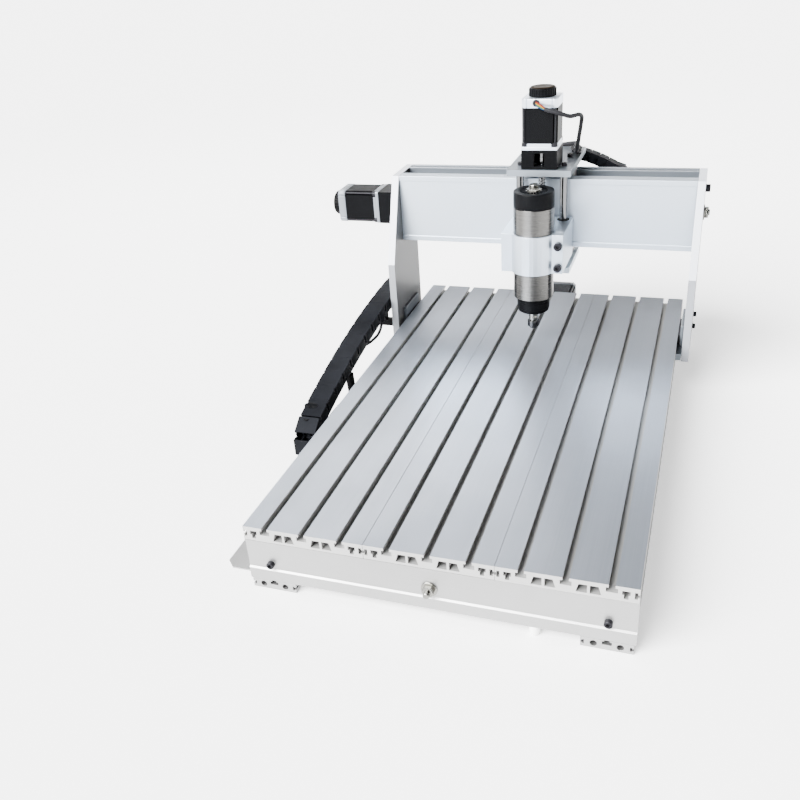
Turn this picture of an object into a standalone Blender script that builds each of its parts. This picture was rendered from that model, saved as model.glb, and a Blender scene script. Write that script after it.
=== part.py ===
"""Moving-gantry CNC router, modelled as separate pieces in metres with +Z up.

Machine coordinates: X across the table from its centre line, Y from the table's
front edge to the rear, Z up from the floor. The root empty shifts the whole
machine so that its origin is the bottom centre of its bounding box.
"""

import math

import bmesh
import bpy
from mathutils import Vector

# ---------------------------------------------------------------- clearances
GAP = 0.0003  # between faces that touch on the real machine
RUN_GAP = 0.0003  # radial, between a rod or screw and the piece that runs on it
ROUND = 32  # sides of a round piece

# ---------------------------------------------------------------- table and base
TABLE_LENGTH = 0.820
PROFILE_WIDTH = 0.160  # each of the three table profiles
PROFILE_HEIGHT = 0.020
SLOT_PITCH = 0.050
SLOT_MOUTH = 0.0075
SLOT_CAVITY = 0.013
SLOT_LIP = 0.004
SLOT_DEPTH = 0.010
CELL_FLOOR = 0.0035
CELL_ROOF = 0.0055
CELL_WEB = 0.0015  # half the web between the two cells of a pair
CELL_WIDTH = 0.0125
CELL_TAPER = 0.0031  # how far a paired cell's outer wall leans in at its roof
END_CELL_NARROW = 0.005  # lower width of the cell at each side of a profile
END_CELL_WIDE = 0.009
SIDE_GROOVE_DEPTH = 0.0055
SIDE_GROOVE_LIP = 0.002
SIDE_GROOVE_MOUTH = 0.004
SIDE_GROOVE_HEIGHT = 0.009
BEAM_HEIGHT = 0.0604
BEAM_THICKNESS = 0.018
BEAM_LOWER_LIP = 0.016
BEAM_UPPER_LIP = 0.003
BEAM_RECESS = 0.002
RUNNER_WIDTH = 0.060
RUNNER_HEIGHT = 0.014
RUNNER_INSET = 0.002  # from the table's side edge
RUNNER_SLOT_MOUTH = 0.006
RUNNER_SLOT_CAVITY = 0.011
RUNNER_SLOT_LIP = 0.002
RUNNER_SLOT_DEPTH = 0.0065
RUNNER_SIDE_MOUTH = 0.003
RUNNER_SIDE_CAVITY = 0.0055
RUNNER_SIDE_DEPTH = 0.0045
RUNNER_BORE = 0.0042  # radius of the two long holes that take the beams' screws
Y_ROD_RADIUS = 0.008
Y_ROD_INSET = 0.0315  # rod axis from the table's side edge
Y_ROD_ABOVE_FLOOR = 0.040
Y_SCREW_RADIUS = 0.008
Y_SCREW_ABOVE_FLOOR = 0.044
Y_STUD_RADIUS = 0.004
Y_STUD_PROUD = 0.013  # stud beyond the front beam's face
Y_NUT_RADIUS = 0.0075
Y_NUT_HEIGHT = 0.0065
Y_WASHER_RADIUS = 0.0095
Y_WASHER_HEIGHT = 0.002

# ---------------------------------------------------------------- stepper motors
MOTOR_SIZE = 0.057
MOTOR_CORNER = 0.0045
MOTOR_FRONT_CAP = 0.010
MOTOR_STACK = 0.054
MOTOR_REAR_CAP = 0.0135
MOUNT_BORE = 0.021
SIDE_MOUNT_LENGTH = 0.034  # the X and Y mounts
Z_MOUNT_LENGTH = 0.030
WINDOW_WIDTH = 0.017
WINDOW_HEIGHT = 0.021
COUPLING_RADIUS = 0.010
COUPLING_SETBACK = 0.005  # from the mount's foot to the coupling
KNOB_RADIUS = 0.0215
KNOB_HEIGHT = 0.0145
KNOB_CHAMFER = 0.002

# ---------------------------------------------------------------- gantry
GANTRY_REAR_GAP = 0.036  # from the gantry's back to the rear beam
GANTRY_DEPTH = 0.082  # of the top beam
FOOT_LENGTH = 0.136  # of a side plate at its foot
PLATE_THICKNESS = 0.012
PLATE_TABLE_GAP = 0.0088
PLATE_FLOOR_GAP = 0.0604
PLATE_KINK_HEIGHT = 0.205
PANEL_ABOVE_TABLE = 0.139
PANEL_HEIGHT = 0.1154
PANEL_THICKNESS = 0.022
PANEL_LIP = 0.0085
PANEL_RECESS = 0.0015
REAR_MEMBER_THICKNESS = 0.023
REAR_SLOT_MOUTH = 0.008
REAR_SLOT_CAVITY = 0.013
REAR_SLOT_LIP = 0.003
REAR_SLOT_DEPTH = 0.010
CROSS_PLATE_THICKNESS = 0.0115
CROSS_PLATE_TABLE_GAP = 0.0013
BEARING_WIDTH = 0.044
BEARING_DEPTH = 0.043
BEARING_END_INSET = 0.010
Y_NUT_BLOCK_WIDTH = 0.044
Y_NUT_BLOCK_LENGTH = 0.040
Y_NUT_BLOCK_DEPTH = 0.034
SIDE_BLOCK_THICKNESS = 0.005
SIDE_BLOCK_LENGTH = 0.078
SIDE_BLOCK_INSET = 0.029  # from the plate's front and rear edges
SIDE_BLOCK_ABOVE_TABLE = 0.017
X_ROD_RADIUS = 0.008
X_ROD_SPREAD = 0.040  # each X rod above or below the X screw
X_SCREW_RADIUS = 0.008
X_SCREW_ABOVE_PANEL_FOOT = 0.054
X_STUD_RADIUS = 0.005
X_NUT_RADIUS = 0.009
X_NUT_HEIGHT = 0.006
X_STUD_PROUD = 0.010

# ---------------------------------------------------------------- carriage
CARRIAGE_X = 0.006  # carriage centre at rest
CARRIAGE_WIDTH = 0.103
CARRIAGE_PLATE = 0.010
CARRIAGE_OVER = 0.0166  # gap between the top plate and the gantry beam
CARRIAGE_UNDER = 0.0224  # gap between the bottom plate and the gantry beam
CARRIAGE_OVERHANG = 0.031  # top plate beyond the gantry's back
BOTTOM_PLATE_FRONT = 0.042  # bottom plate ahead of the beam's front
BOTTOM_PLATE_REAR = 0.064  # bottom plate behind the beam's front
X_BLOCK_WIDTH = 0.090
GROOVE_CLEARANCE = 0.0012
Z_STANDOFF = 0.018  # Z screw axis ahead of the beam's front
Z_ROD_RADIUS = 0.0065
Z_ROD_SPREAD = 0.036
Z_SCREW_RADIUS = 0.006
Z_SCREW_SEAT = 0.004  # depth of the screw's foot in the bottom plate
SCREW_HOLE_CLEARANCE = 0.0015

# ---------------------------------------------------------------- Z slide and spindle
SLIDE_LIFT = 0.0115  # slide above the bottom plate at rest
SLIDE_HEIGHT = 0.064
SLIDE_WIDTH = 0.100
SLIDE_PANEL_GAP = 0.004
SPINDLE_RADIUS = 0.0325
SPINDLE_CLEARANCE = 0.002  # between the spindle and the top plate
TOP_PLATE_LIP = 0.004  # top plate ahead of the Z motor mount
CLAMP_WALL = 0.0035
CLAMP_FACE = 0.017  # clamp's flat front ahead of the spindle axis
SPINDLE_BELOW_CLAMP = 0.0445
SPINDLE_ABOVE_CLAMP = 0.0418
SPINDLE_CAP_HEIGHT = 0.025
CONNECTOR_RADIUS = 0.0095
CONNECTOR_HEIGHT = 0.009
NOSE_RADIUS = 0.027
NOSE_HEIGHT = 0.027
NOSE_BORE_DEPTH = 0.012
SHAFT_RADIUS = 0.0075
SHAFT_PROUD = 0.018
COLLET_RADIUS = 0.0095
COLLET_HEIGHT = 0.0135
COLLET_BORE = 0.0032
COLLET_BORE_DEPTH = 0.009

# ---------------------------------------------------------------- drag chains
Y_CHAIN_GAP = 0.002  # chain's inner side from the gantry plate
Y_CHAIN_WIDTH = 0.035
Y_CHAIN_THICKNESS = 0.022
Y_CHAIN_BEND = 0.0397  # outer bend radius
Y_CHAIN_RISE = 0.285  # slope of the upper run where it leaves the bend
Y_CHAIN_LEVEL = 0.445  # distance from the bend at which it would lie level
Y_CHAIN_REACH = 0.420  # upper run at rest
Y_CHAIN_LOWER = 0.135
Y_CHAIN_BACK = 0.046  # chain end ahead of the gantry's back
TRAY_SHEET = 0.002
TRAY_WIDTH = 0.0567
TRAY_FRONT = 0.025  # tray's front edge behind the table's front
TRAY_CHAMFER = 0.012
TRAY_LENGTH = 0.600
ARM_WIDTH = 0.014
ARM_HEIGHT = 0.0115
ARM_DROP = 0.011  # underside of the arm below the table top
ARM_SETBACK = 0.006  # from the side plate's front edge
ARM_INSET = 0.005  # tip of the arm inside the chain's outer side
X_CHAIN_WIDTH = 0.025
X_CHAIN_THICKNESS = 0.018
X_CHAIN_BEND = 0.038
X_CHAIN_GAP = 0.006  # chain behind the top plate
X_CHAIN_START = -0.006  # chain's fixed end from the carriage centre
X_CHAIN_REACH = 0.106
X_CHAIN_FALL = 0.030
X_CHAIN_TOP_BELOW_PLATE = 0.001
X_CHAIN_LOWER = 0.098
SHELF_SHEET = 0.002
SHELF_FLANGE = 0.032
SHELF_LEFT = -0.035
SHELF_RIGHT = 0.245
SHELF_LIP = 0.004  # shelf beyond the chain's outer side

# ---------------------------------------------------------------- Z motor lead
LEAD_RADIUS = 0.0033

# ================================================================ derived places
TABLE_HALF = 1.5 * PROFILE_WIDTH
BEAM_BOTTOM = RUNNER_HEIGHT + GAP
TABLE_BOTTOM = BEAM_BOTTOM + BEAM_HEIGHT + GAP
TABLE_TOP = TABLE_BOTTOM + PROFILE_HEIGHT
Y_ROD_X = TABLE_HALF - Y_ROD_INSET

GANTRY_BACK = TABLE_LENGTH - BEAM_THICKNESS - GANTRY_REAR_GAP
PANEL_FRONT = GANTRY_BACK - GANTRY_DEPTH
FOOT_FRONT = GANTRY_BACK - FOOT_LENGTH
PLATE_INNER = TABLE_HALF + PLATE_TABLE_GAP
PLATE_OUTER = PLATE_INNER + PLATE_THICKNESS
PANEL_BOTTOM = TABLE_TOP + PANEL_ABOVE_TABLE
PANEL_TOP = PANEL_BOTTOM + PANEL_HEIGHT
GROOVE_FRONT = PANEL_FRONT + PANEL_THICKNESS
GROOVE_BACK = GANTRY_BACK - REAR_MEMBER_THICKNESS
X_AXIS_Y = (GROOVE_FRONT + GROOVE_BACK) / 2
X_AXIS_Z = PANEL_BOTTOM + X_SCREW_ABOVE_PANEL_FOOT
CROSS_TOP = TABLE_BOTTOM - CROSS_PLATE_TABLE_GAP
CROSS_BOTTOM = CROSS_TOP - CROSS_PLATE_THICKNESS

TOP_PLATE_BOTTOM = PANEL_TOP + CARRIAGE_OVER
TOP_PLATE_TOP = TOP_PLATE_BOTTOM + CARRIAGE_PLATE
BOTTOM_PLATE_TOP = PANEL_BOTTOM - CARRIAGE_UNDER
Z_AXIS_Y = PANEL_FRONT - Z_STANDOFF
SPINDLE_Y = Z_AXIS_Y - MOTOR_SIZE / 2 - TOP_PLATE_LIP - SPINDLE_CLEARANCE - SPINDLE_RADIUS
TOP_PLATE_FRONT = SPINDLE_Y + SPINDLE_RADIUS + SPINDLE_CLEARANCE
TOP_PLATE_BACK = GANTRY_BACK + CARRIAGE_OVERHANG
SLIDE_BOTTOM = BOTTOM_PLATE_TOP + SLIDE_LIFT
SLIDE_TOP = SLIDE_BOTTOM + SLIDE_HEIGHT
BODY_BOTTOM = SLIDE_BOTTOM - SPINDLE_BELOW_CLAMP
BODY_TOP = SLIDE_TOP + SPINDLE_ABOVE_CLAMP

Y_CHAIN_INNER = -(PLATE_OUTER + Y_CHAIN_GAP)
Y_CHAIN_OUTER = Y_CHAIN_INNER - Y_CHAIN_WIDTH
Y_CHAIN_BOTTOM = TRAY_SHEET + GAP
Y_CHAIN_AXIS_Z = Y_CHAIN_BOTTOM + Y_CHAIN_BEND
Y_CHAIN_END = GANTRY_BACK - Y_CHAIN_BACK
Y_LOOP_Y = Y_CHAIN_END - Y_CHAIN_REACH
X_CHAIN_FRONT = TOP_PLATE_BACK + X_CHAIN_GAP
X_LOOP_X = CARRIAGE_X + X_CHAIN_START + X_CHAIN_REACH
X_LOOP_TOP = TOP_PLATE_TOP - X_CHAIN_TOP_BELOW_PLATE - X_CHAIN_FALL
X_LOOP_Z = X_LOOP_TOP - X_CHAIN_BEND
SHELF_TOP = X_LOOP_Z - X_CHAIN_BEND - GAP

MOTOR_LENGTH = MOTOR_FRONT_CAP + MOTOR_STACK + MOTOR_REAR_CAP + KNOB_HEIGHT + 4 * GAP
LEFT_END = -(PLATE_OUTER + SIDE_MOUNT_LENGTH + MOTOR_LENGTH)
RIGHT_END = PLATE_OUTER + X_STUD_PROUD
FRONT_END = -Y_STUD_PROUD
REAR_END = TABLE_LENGTH + SIDE_MOUNT_LENGTH + MOTOR_LENGTH
ORIGIN_SHIFT = Vector((-(LEFT_END + RIGHT_END) / 2, -(FRONT_END + REAR_END) / 2, 0.0))

# ================================================================ scene set-up
for old in list(bpy.data.objects):
    bpy.data.objects.remove(old)

PIECES = bpy.data.collections.new("cnc_router")
CUTTERS = bpy.data.collections.new("cutters")
for group in (PIECES, CUTTERS):
    bpy.context.scene.collection.children.link(group)


def finish(name, colour, roughness, metallic):
    """A Principled material with one colour."""
    made = bpy.data.materials.new(name)
    made.use_nodes = True
    shader = made.node_tree.nodes["Principled BSDF"]
    shader.inputs["Base Color"].default_value = (*colour, 1.0)
    shader.inputs["Roughness"].default_value = roughness
    shader.inputs["Metallic"].default_value = metallic
    return made


FINISHES = {
    "brushed_aluminium": finish("brushed_aluminium", (0.52, 0.53, 0.55), 0.42, 1.0),
    "silver_aluminium": finish("silver_aluminium", (0.75, 0.75, 0.75), 0.40, 1.0),
    "satin_anodised": finish("satin_anodised", (0.86, 0.87, 0.89), 0.38, 0.6),
    "cast_cap": finish("cast_cap", (0.72, 0.72, 0.73), 0.35, 1.0),
    "black_lamination": finish("black_lamination", (0.03, 0.03, 0.035), 0.45, 0.3),
    "black_anodised": finish("black_anodised", (0.02, 0.02, 0.022), 0.40, 0.4),
    "steel": finish("steel", (0.62, 0.61, 0.59), 0.25, 1.0),
    "chain_plastic": finish("chain_plastic", (0.045, 0.048, 0.055), 0.6, 0.0),
    "black_sleeve": finish("black_sleeve", (0.015, 0.015, 0.016), 0.55, 0.0),
}

ROOT = bpy.data.objects.new("router_origin", None)
ROOT.location = ORIGIN_SHIFT
PIECES.objects.link(ROOT)
BODY_ORIGIN = {None: Vector((0.0, 0.0, 0.0))}
BODY_EMPTY = {None: ROOT}


def body(name, parent, origin):
    """An empty that carries one rigid body, standing on its joint's axis."""
    empty = bpy.data.objects.new(name + "_axis", None)
    empty.empty_display_size = 0.03
    empty.parent = BODY_EMPTY[parent]
    empty.location = Vector(origin) - BODY_ORIGIN[parent]
    PIECES.objects.link(empty)
    BODY_ORIGIN[name] = Vector(origin)
    BODY_EMPTY[name] = empty


body("base", None, (0.0, 0.0, 0.0))
body("y_drive", "base", (0.0, 0.0, Y_SCREW_ABOVE_FLOOR))
body("gantry", "base", (0.0, X_AXIS_Y, Y_SCREW_ABOVE_FLOOR))
body("x_drive", "gantry", (0.0, X_AXIS_Y, X_AXIS_Z))
body("x_carriage", "gantry", (CARRIAGE_X, X_AXIS_Y, X_AXIS_Z))
body("z_drive", "x_carriage", (CARRIAGE_X, Z_AXIS_Y, BOTTOM_PLATE_TOP))
body("z_slide", "x_carriage", (CARRIAGE_X, Z_AXIS_Y, SLIDE_BOTTOM))
body("spindle", "z_slide", (CARRIAGE_X, SPINDLE_Y, BODY_BOTTOM))
body("y_chain", "base", (0.0, Y_LOOP_Y, Y_CHAIN_AXIS_Z))
body("x_chain", "gantry", (X_LOOP_X, X_CHAIN_FRONT, X_LOOP_Z))


def place(obj, carrier, look, location, rotation=(0.0, 0.0, 0.0)):
    """Puts a piece in the machine, on its body, with its own finish."""
    PIECES.objects.link(obj)
    obj.parent = BODY_EMPTY[carrier]
    obj.location = Vector(location) - BODY_ORIGIN[carrier]
    obj.rotation_euler = rotation
    if look:
        obj.data.materials.clear()
        obj.data.materials.append(FINISHES[look])
    return obj


# ================================================================ shape tools
FACING = {
    "X": (math.pi / 2, 0.0, math.pi / 2),  # outline in (y, z)
    "Y": (math.pi / 2, 0.0, 0.0),  # outline in (x, z)
    "Z": (0.0, 0.0, 0.0),  # outline in (x, y)
}


def rectangle(u0, v0, u1, v1):
    return [(u0, v0), (u1, v0), (u1, v1), (u0, v1)]


def arc(u, v, radius, start, end, steps):
    """Points from angle start to angle end, in degrees, both ends included."""
    angles = [math.radians(start + (end - start) * i / steps) for i in range(steps + 1)]
    return [(u + radius * math.cos(a), v + radius * math.sin(a)) for a in angles]


def circle(u, v, radius, sides=ROUND):
    return arc(u, v, radius, 0.0, 360.0, sides)[:-1]


def extruded(name, carrier, look, facing, low, high, outline, holes=()):
    """A flat outline with holes, extruded from low to high along one axis."""
    data = bpy.data.curves.new(name, "CURVE")
    data.dimensions = "2D"
    data.fill_mode = "BOTH"
    data.extrude = (high - low) / 2
    for loop in (outline, *holes):
        spline = data.splines.new("POLY")
        spline.points.add(len(loop) - 1)
        for point, (u, v) in zip(spline.points, loop):
            point.co = (u, v, 0.0, 1.0)
        spline.use_cyclic_u = True
    middle = (low + high) / 2
    location = {"X": (middle, 0.0, 0.0), "Y": (0.0, middle, 0.0), "Z": (0.0, 0.0, middle)}
    return place(bpy.data.objects.new(name, data), carrier, look, location[facing], FACING[facing])


def box(name, carrier, look, low, high, bevel=0.0):
    """A block between two corners, its edges bevelled when bevel is set."""
    size = Vector(high) - Vector(low)
    shape = bmesh.new()
    bmesh.ops.create_cube(shape, size=1.0)
    bmesh.ops.scale(shape, vec=size, verts=shape.verts)
    data = bpy.data.meshes.new(name)
    shape.to_mesh(data)
    shape.free()
    obj = bpy.data.objects.new(name, data)
    if bevel:
        edge = obj.modifiers.new("edges", "BEVEL")
        edge.width = bevel
        edge.segments = 1
    return place(obj, carrier, look, (Vector(low) + Vector(high)) / 2)


def turned(name, carrier, look, profile, origin, facing="Z"):
    """A turned piece: (radius, height) from the top down, heights along the facing axis."""
    data = bpy.data.meshes.new(name)
    points = [(radius, 0.0, height) for radius, height in profile]
    edges = [(i, i + 1) for i in range(len(points) - 1)]
    if profile[0][0] > 0.0:
        edges.append((len(points) - 1, 0))
    data.from_pydata(points, edges, [])
    obj = bpy.data.objects.new(name, data)
    spin = obj.modifiers.new("turn", "SCREW")
    spin.axis = "Z"
    spin.steps = ROUND
    spin.render_steps = ROUND
    spin.use_merge_vertices = True
    spin.merge_threshold = 0.00001
    turn = {"X": (0.0, math.pi / 2, 0.0), "Y": (-math.pi / 2, 0.0, 0.0), "Z": (0.0, 0.0, 0.0)}
    return place(obj, carrier, look, origin, turn[facing])


def solid_profile(*steps):
    """Closes a stack of (radius, height) steps, top down, onto the turning axis."""
    return [(0.0, steps[0][1]), *steps, (0.0, steps[-1][1])]


def cylinder_between(name, carrier, look, start, end, radius, facing):
    """A plain round rod along one axis, from start to end."""
    shape = bmesh.new()
    length = (Vector(end) - Vector(start)).length
    bmesh.ops.create_cone(
        shape, cap_ends=True, segments=ROUND, radius1=radius, radius2=radius, depth=length
    )
    data = bpy.data.meshes.new(name)
    shape.to_mesh(data)
    shape.free()
    turn = {"X": (0.0, math.pi / 2, 0.0), "Y": (-math.pi / 2, 0.0, 0.0), "Z": (0.0, 0.0, 0.0)}
    middle = (Vector(start) + Vector(end)) / 2
    obj = bpy.data.objects.new(name, data)
    return place(obj, carrier, look, middle, turn[facing])


def as_mesh(obj):
    """Turns an extruded outline into a welded mesh, so that it can be cut."""
    bpy.context.view_layer.update()
    evaluated = obj.evaluated_get(bpy.context.evaluated_depsgraph_get())
    data = bpy.data.meshes.new_from_object(evaluated)
    shape = bmesh.new()
    shape.from_mesh(data)
    bmesh.ops.remove_doubles(shape, verts=shape.verts, dist=0.00001)
    shape.to_mesh(data)
    shape.free()
    made = bpy.data.objects.new(obj.name, data)
    parent, matrix, name = obj.parent, obj.matrix_world.copy(), obj.name
    bpy.data.objects.remove(obj)
    made.name = name
    PIECES.objects.link(made)
    made.parent = parent
    made.matrix_world = matrix
    return made


def cut(target, cutter):
    """Subtracts the cutter, which stays in the file as a hidden wire guide."""
    PIECES.objects.unlink(cutter)
    CUTTERS.objects.link(cutter)
    cutter.hide_render = True
    cutter.display_type = "WIRE"
    boolean = target.modifiers.new("cut_" + cutter.name, "BOOLEAN")
    boolean.operation = "DIFFERENCE"
    boolean.object = cutter


# ================================================================ table and base
def table_profile(name, centre):
    """One T-slotted table extrusion with its closed cells and open side grooves."""
    half = PROFILE_WIDTH / 2 - GAP / 2
    top = PROFILE_HEIGHT
    middle = top / 2
    mouth = SIDE_GROOVE_MOUTH / 2
    groove = SIDE_GROOVE_HEIGHT / 2
    right = [
        (half, middle - mouth),
        (half - SIDE_GROOVE_LIP, middle - mouth),
        (half - SIDE_GROOVE_LIP, middle - groove),
        (half - SIDE_GROOVE_DEPTH, middle - groove),
    ]
    right += [(u, top - v) for u, v in reversed(right)]
    outline = [(-half, 0.0), (half, 0.0), *right, (half, top)]
    for slot in (SLOT_PITCH, 0.0, -SLOT_PITCH):
        steps = [
            (SLOT_MOUTH / 2, top),
            (SLOT_MOUTH / 2, top - SLOT_LIP),
            (SLOT_CAVITY / 2, top - SLOT_LIP),
            (SLOT_CAVITY / 2, top - SLOT_DEPTH),
        ]
        outline += [(slot + u, v) for u, v in steps]
        outline += [(slot - u, v) for u, v in reversed(steps)]
    outline += [(-half, top)]
    outline += [(-u, v) for u, v in reversed(right)]
    floor, roof = CELL_FLOOR, top - CELL_ROOF
    holes = []
    for pair in (-SLOT_PITCH / 2, SLOT_PITCH / 2):
        for side in (-1, 1):
            inner = pair + side * CELL_WEB
            outer = pair + side * (CELL_WEB + CELL_WIDTH)
            slanted = outer - side * CELL_TAPER
            holes.append([(inner, floor), (outer, floor), (slanted, roof), (inner, roof)])
    for side in (-1, 1):
        cell = side * (SLOT_PITCH + half - SIDE_GROOVE_DEPTH + SLOT_CAVITY / 2) / 2
        wide, narrow, step = END_CELL_WIDE / 2, END_CELL_NARROW / 2, (floor + roof) / 2
        holes.append(
            [
                (cell - narrow, floor),
                (cell + narrow, floor),
                (cell + narrow, step),
                (cell + wide, step),
                (cell + wide, roof),
                (cell - wide, roof),
                (cell - wide, step),
                (cell - narrow, step),
            ]
        )
    shift = [[(u + centre, v + TABLE_BOTTOM) for u, v in loop] for loop in (outline, *holes)]
    extruded(name, "base", "brushed_aluminium", "Y", 0.0, TABLE_LENGTH, shift[0], shift[1:])


def cross_beam(name, face, inward, hole_radius):
    """An end beam under the table, its outer face recessed between two lips."""
    high = BEAM_BOTTOM + BEAM_HEIGHT
    recess = face + inward * BEAM_RECESS
    back = face + inward * BEAM_THICKNESS
    outline = [
        (face, BEAM_BOTTOM),
        (face, BEAM_BOTTOM + BEAM_LOWER_LIP),
        (recess, BEAM_BOTTOM + BEAM_LOWER_LIP + BEAM_RECESS),
        (recess, high - BEAM_UPPER_LIP),
        (face, high - BEAM_UPPER_LIP),
        (face, high),
        (back, high),
        (back, BEAM_BOTTOM),
    ]
    beam = extruded(name, "base", "silver_aluminium", "X", -TABLE_HALF, TABLE_HALF, outline)
    beam = as_mesh(beam)
    start = (0.0, face - inward * BEAM_THICKNESS, Y_SCREW_ABOVE_FLOOR)
    end = (0.0, back + inward * BEAM_THICKNESS, Y_SCREW_ABOVE_FLOOR)
    cut(beam, cylinder_between(name + "_hole", "base", None, start, end, hole_radius, "Y"))


def runner(name, centre):
    """A flat T-slotted extrusion on the floor, running the length of the table."""
    half = RUNNER_WIDTH / 2
    top = RUNNER_HEIGHT
    side_mouth, side_cavity = RUNNER_SIDE_MOUTH / 2, RUNNER_SIDE_CAVITY / 2
    side = [
        (half, top / 2 - side_mouth),
        (half - RUNNER_SLOT_LIP, top / 2 - side_mouth),
        (half - RUNNER_SLOT_LIP, top / 2 - side_cavity),
        (half - RUNNER_SIDE_DEPTH, top / 2 - side_cavity),
    ]
    side += [(u, top - v) for u, v in reversed(side)]
    slot = [
        (RUNNER_SLOT_MOUTH / 2, top),
        (RUNNER_SLOT_MOUTH / 2, top - RUNNER_SLOT_LIP),
        (RUNNER_SLOT_CAVITY / 2, top - RUNNER_SLOT_LIP),
        (RUNNER_SLOT_CAVITY / 2, top - RUNNER_SLOT_DEPTH),
    ]
    outline = [(-half, 0.0), (half, 0.0), *side, (half, top)]
    outline += slot + [(-u, v) for u, v in reversed(slot)]
    outline += [(-half, top)] + [(-u, v) for u, v in reversed(side)]
    holes = [circle(u, top / 2, RUNNER_BORE, 12) for u in (-half / 2, half / 2)]
    shift = [[(u + centre, v) for u, v in loop] for loop in (outline, *holes)]
    extruded(name, "base", "silver_aluminium", "Y", 0.0, TABLE_LENGTH, shift[0], shift[1:])


table_profile("table_profile_left", -PROFILE_WIDTH)
table_profile("table_profile_centre", 0.0)
table_profile("table_profile_right", PROFILE_WIDTH)
cross_beam("front_beam", 0.0, 1, Y_STUD_RADIUS + SCREW_HOLE_CLEARANCE)
cross_beam("rear_beam", TABLE_LENGTH, -1, Y_SCREW_RADIUS + SCREW_HOLE_CLEARANCE)
RUNNER_X = TABLE_HALF - RUNNER_INSET - RUNNER_WIDTH / 2
runner("left_runner", -RUNNER_X)
runner("right_runner", RUNNER_X)

for rod_name, rod_x in (("left_y_rod", -Y_ROD_X), ("right_y_rod", Y_ROD_X)):
    rod_start = (rod_x, BEAM_THICKNESS + GAP, Y_ROD_ABOVE_FLOOR)
    rod_end = (rod_x, TABLE_LENGTH - BEAM_THICKNESS - GAP, Y_ROD_ABOVE_FLOOR)
    cylinder_between(rod_name, "base", "steel", rod_start, rod_end, Y_ROD_RADIUS, "Y")


# ================================================================ motors
def around(axis_u, axis_v, loop):
    return [(axis_u + u, axis_v + v) for u, v in loop]


def four_corners(corner):
    """Repeats the points of one corner at each quarter turn."""
    points = []
    for _ in range(4):
        points += corner
        corner = [(-v, u) for u, v in corner]
    return points


def notched_square(size, step):
    """A square whose corners are stepped in, as on a stepper motor's stack."""
    half, inner = size / 2, size / 2 - step
    return four_corners([(half, inner), (inner, inner), (inner, half)])


def chamfered_square(size, chamfer):
    half, inner = size / 2, size / 2 - chamfer
    return four_corners([(half, inner), (inner, half)])


def along(start, direction, distances):
    """Low and high ends of a stretch that starts at start and runs in direction."""
    ends = [start + direction * d for d in distances]
    return min(ends), max(ends)


def motor_mount(name, carrier, facing, centre, start, direction, length):
    """The black square tube between the machine and a motor's flange."""
    low, high = along(start, direction, (GAP, length))
    half = MOTOR_SIZE / 2
    outline = around(*centre, rectangle(-half, -half, half, half))
    bore = circle(*centre, MOUNT_BORE)
    return extruded(name, carrier, "black_anodised", facing, low, high, outline, [bore])


def motor(prefix, carrier, facing, centre, start, direction, pieces):
    """The stepper motor's caps and laminated stack, and returns where it ends."""
    at = start
    for part_name, length, look, loop in (
        ("front_cap", MOTOR_FRONT_CAP, "cast_cap", chamfered_square(MOTOR_SIZE, MOTOR_CORNER / 2)),
        ("stack", MOTOR_STACK, "black_lamination", notched_square(MOTOR_SIZE, MOTOR_CORNER)),
        ("rear_cap", MOTOR_REAR_CAP, "cast_cap", chamfered_square(MOTOR_SIZE, MOTOR_CORNER)),
    ):
        if pieces:
            low, high = along(at, direction, (GAP, GAP + length))
            name = prefix + "_motor_" + part_name
            extruded(name, carrier, look, facing, low, high, around(*centre, loop))
        at += direction * (GAP + length)
    if not pieces:
        low, high = along(start, direction, (GAP, abs(at - start)))
        loop = around(*centre, chamfered_square(MOTOR_SIZE, MOTOR_CORNER))
        extruded(prefix + "_motor", carrier, "black_lamination", facing, low, high, loop)
    return at


def knob(name, carrier, origin, facing, direction):
    """A round hand knob whose foot is at origin and whose crown points in direction."""
    rim = KNOB_RADIUS - KNOB_CHAMFER
    crown, shoulder, foot = KNOB_HEIGHT, KNOB_HEIGHT - KNOB_CHAMFER, 0.0
    if direction > 0:
        steps = [(rim, crown), (KNOB_RADIUS, shoulder), (KNOB_RADIUS, foot)]
    else:
        steps = [(KNOB_RADIUS, -foot), (KNOB_RADIUS, -shoulder), (rim, -crown)]
    turned(name, carrier, "black_anodised", solid_profile(*steps), origin, facing)


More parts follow.
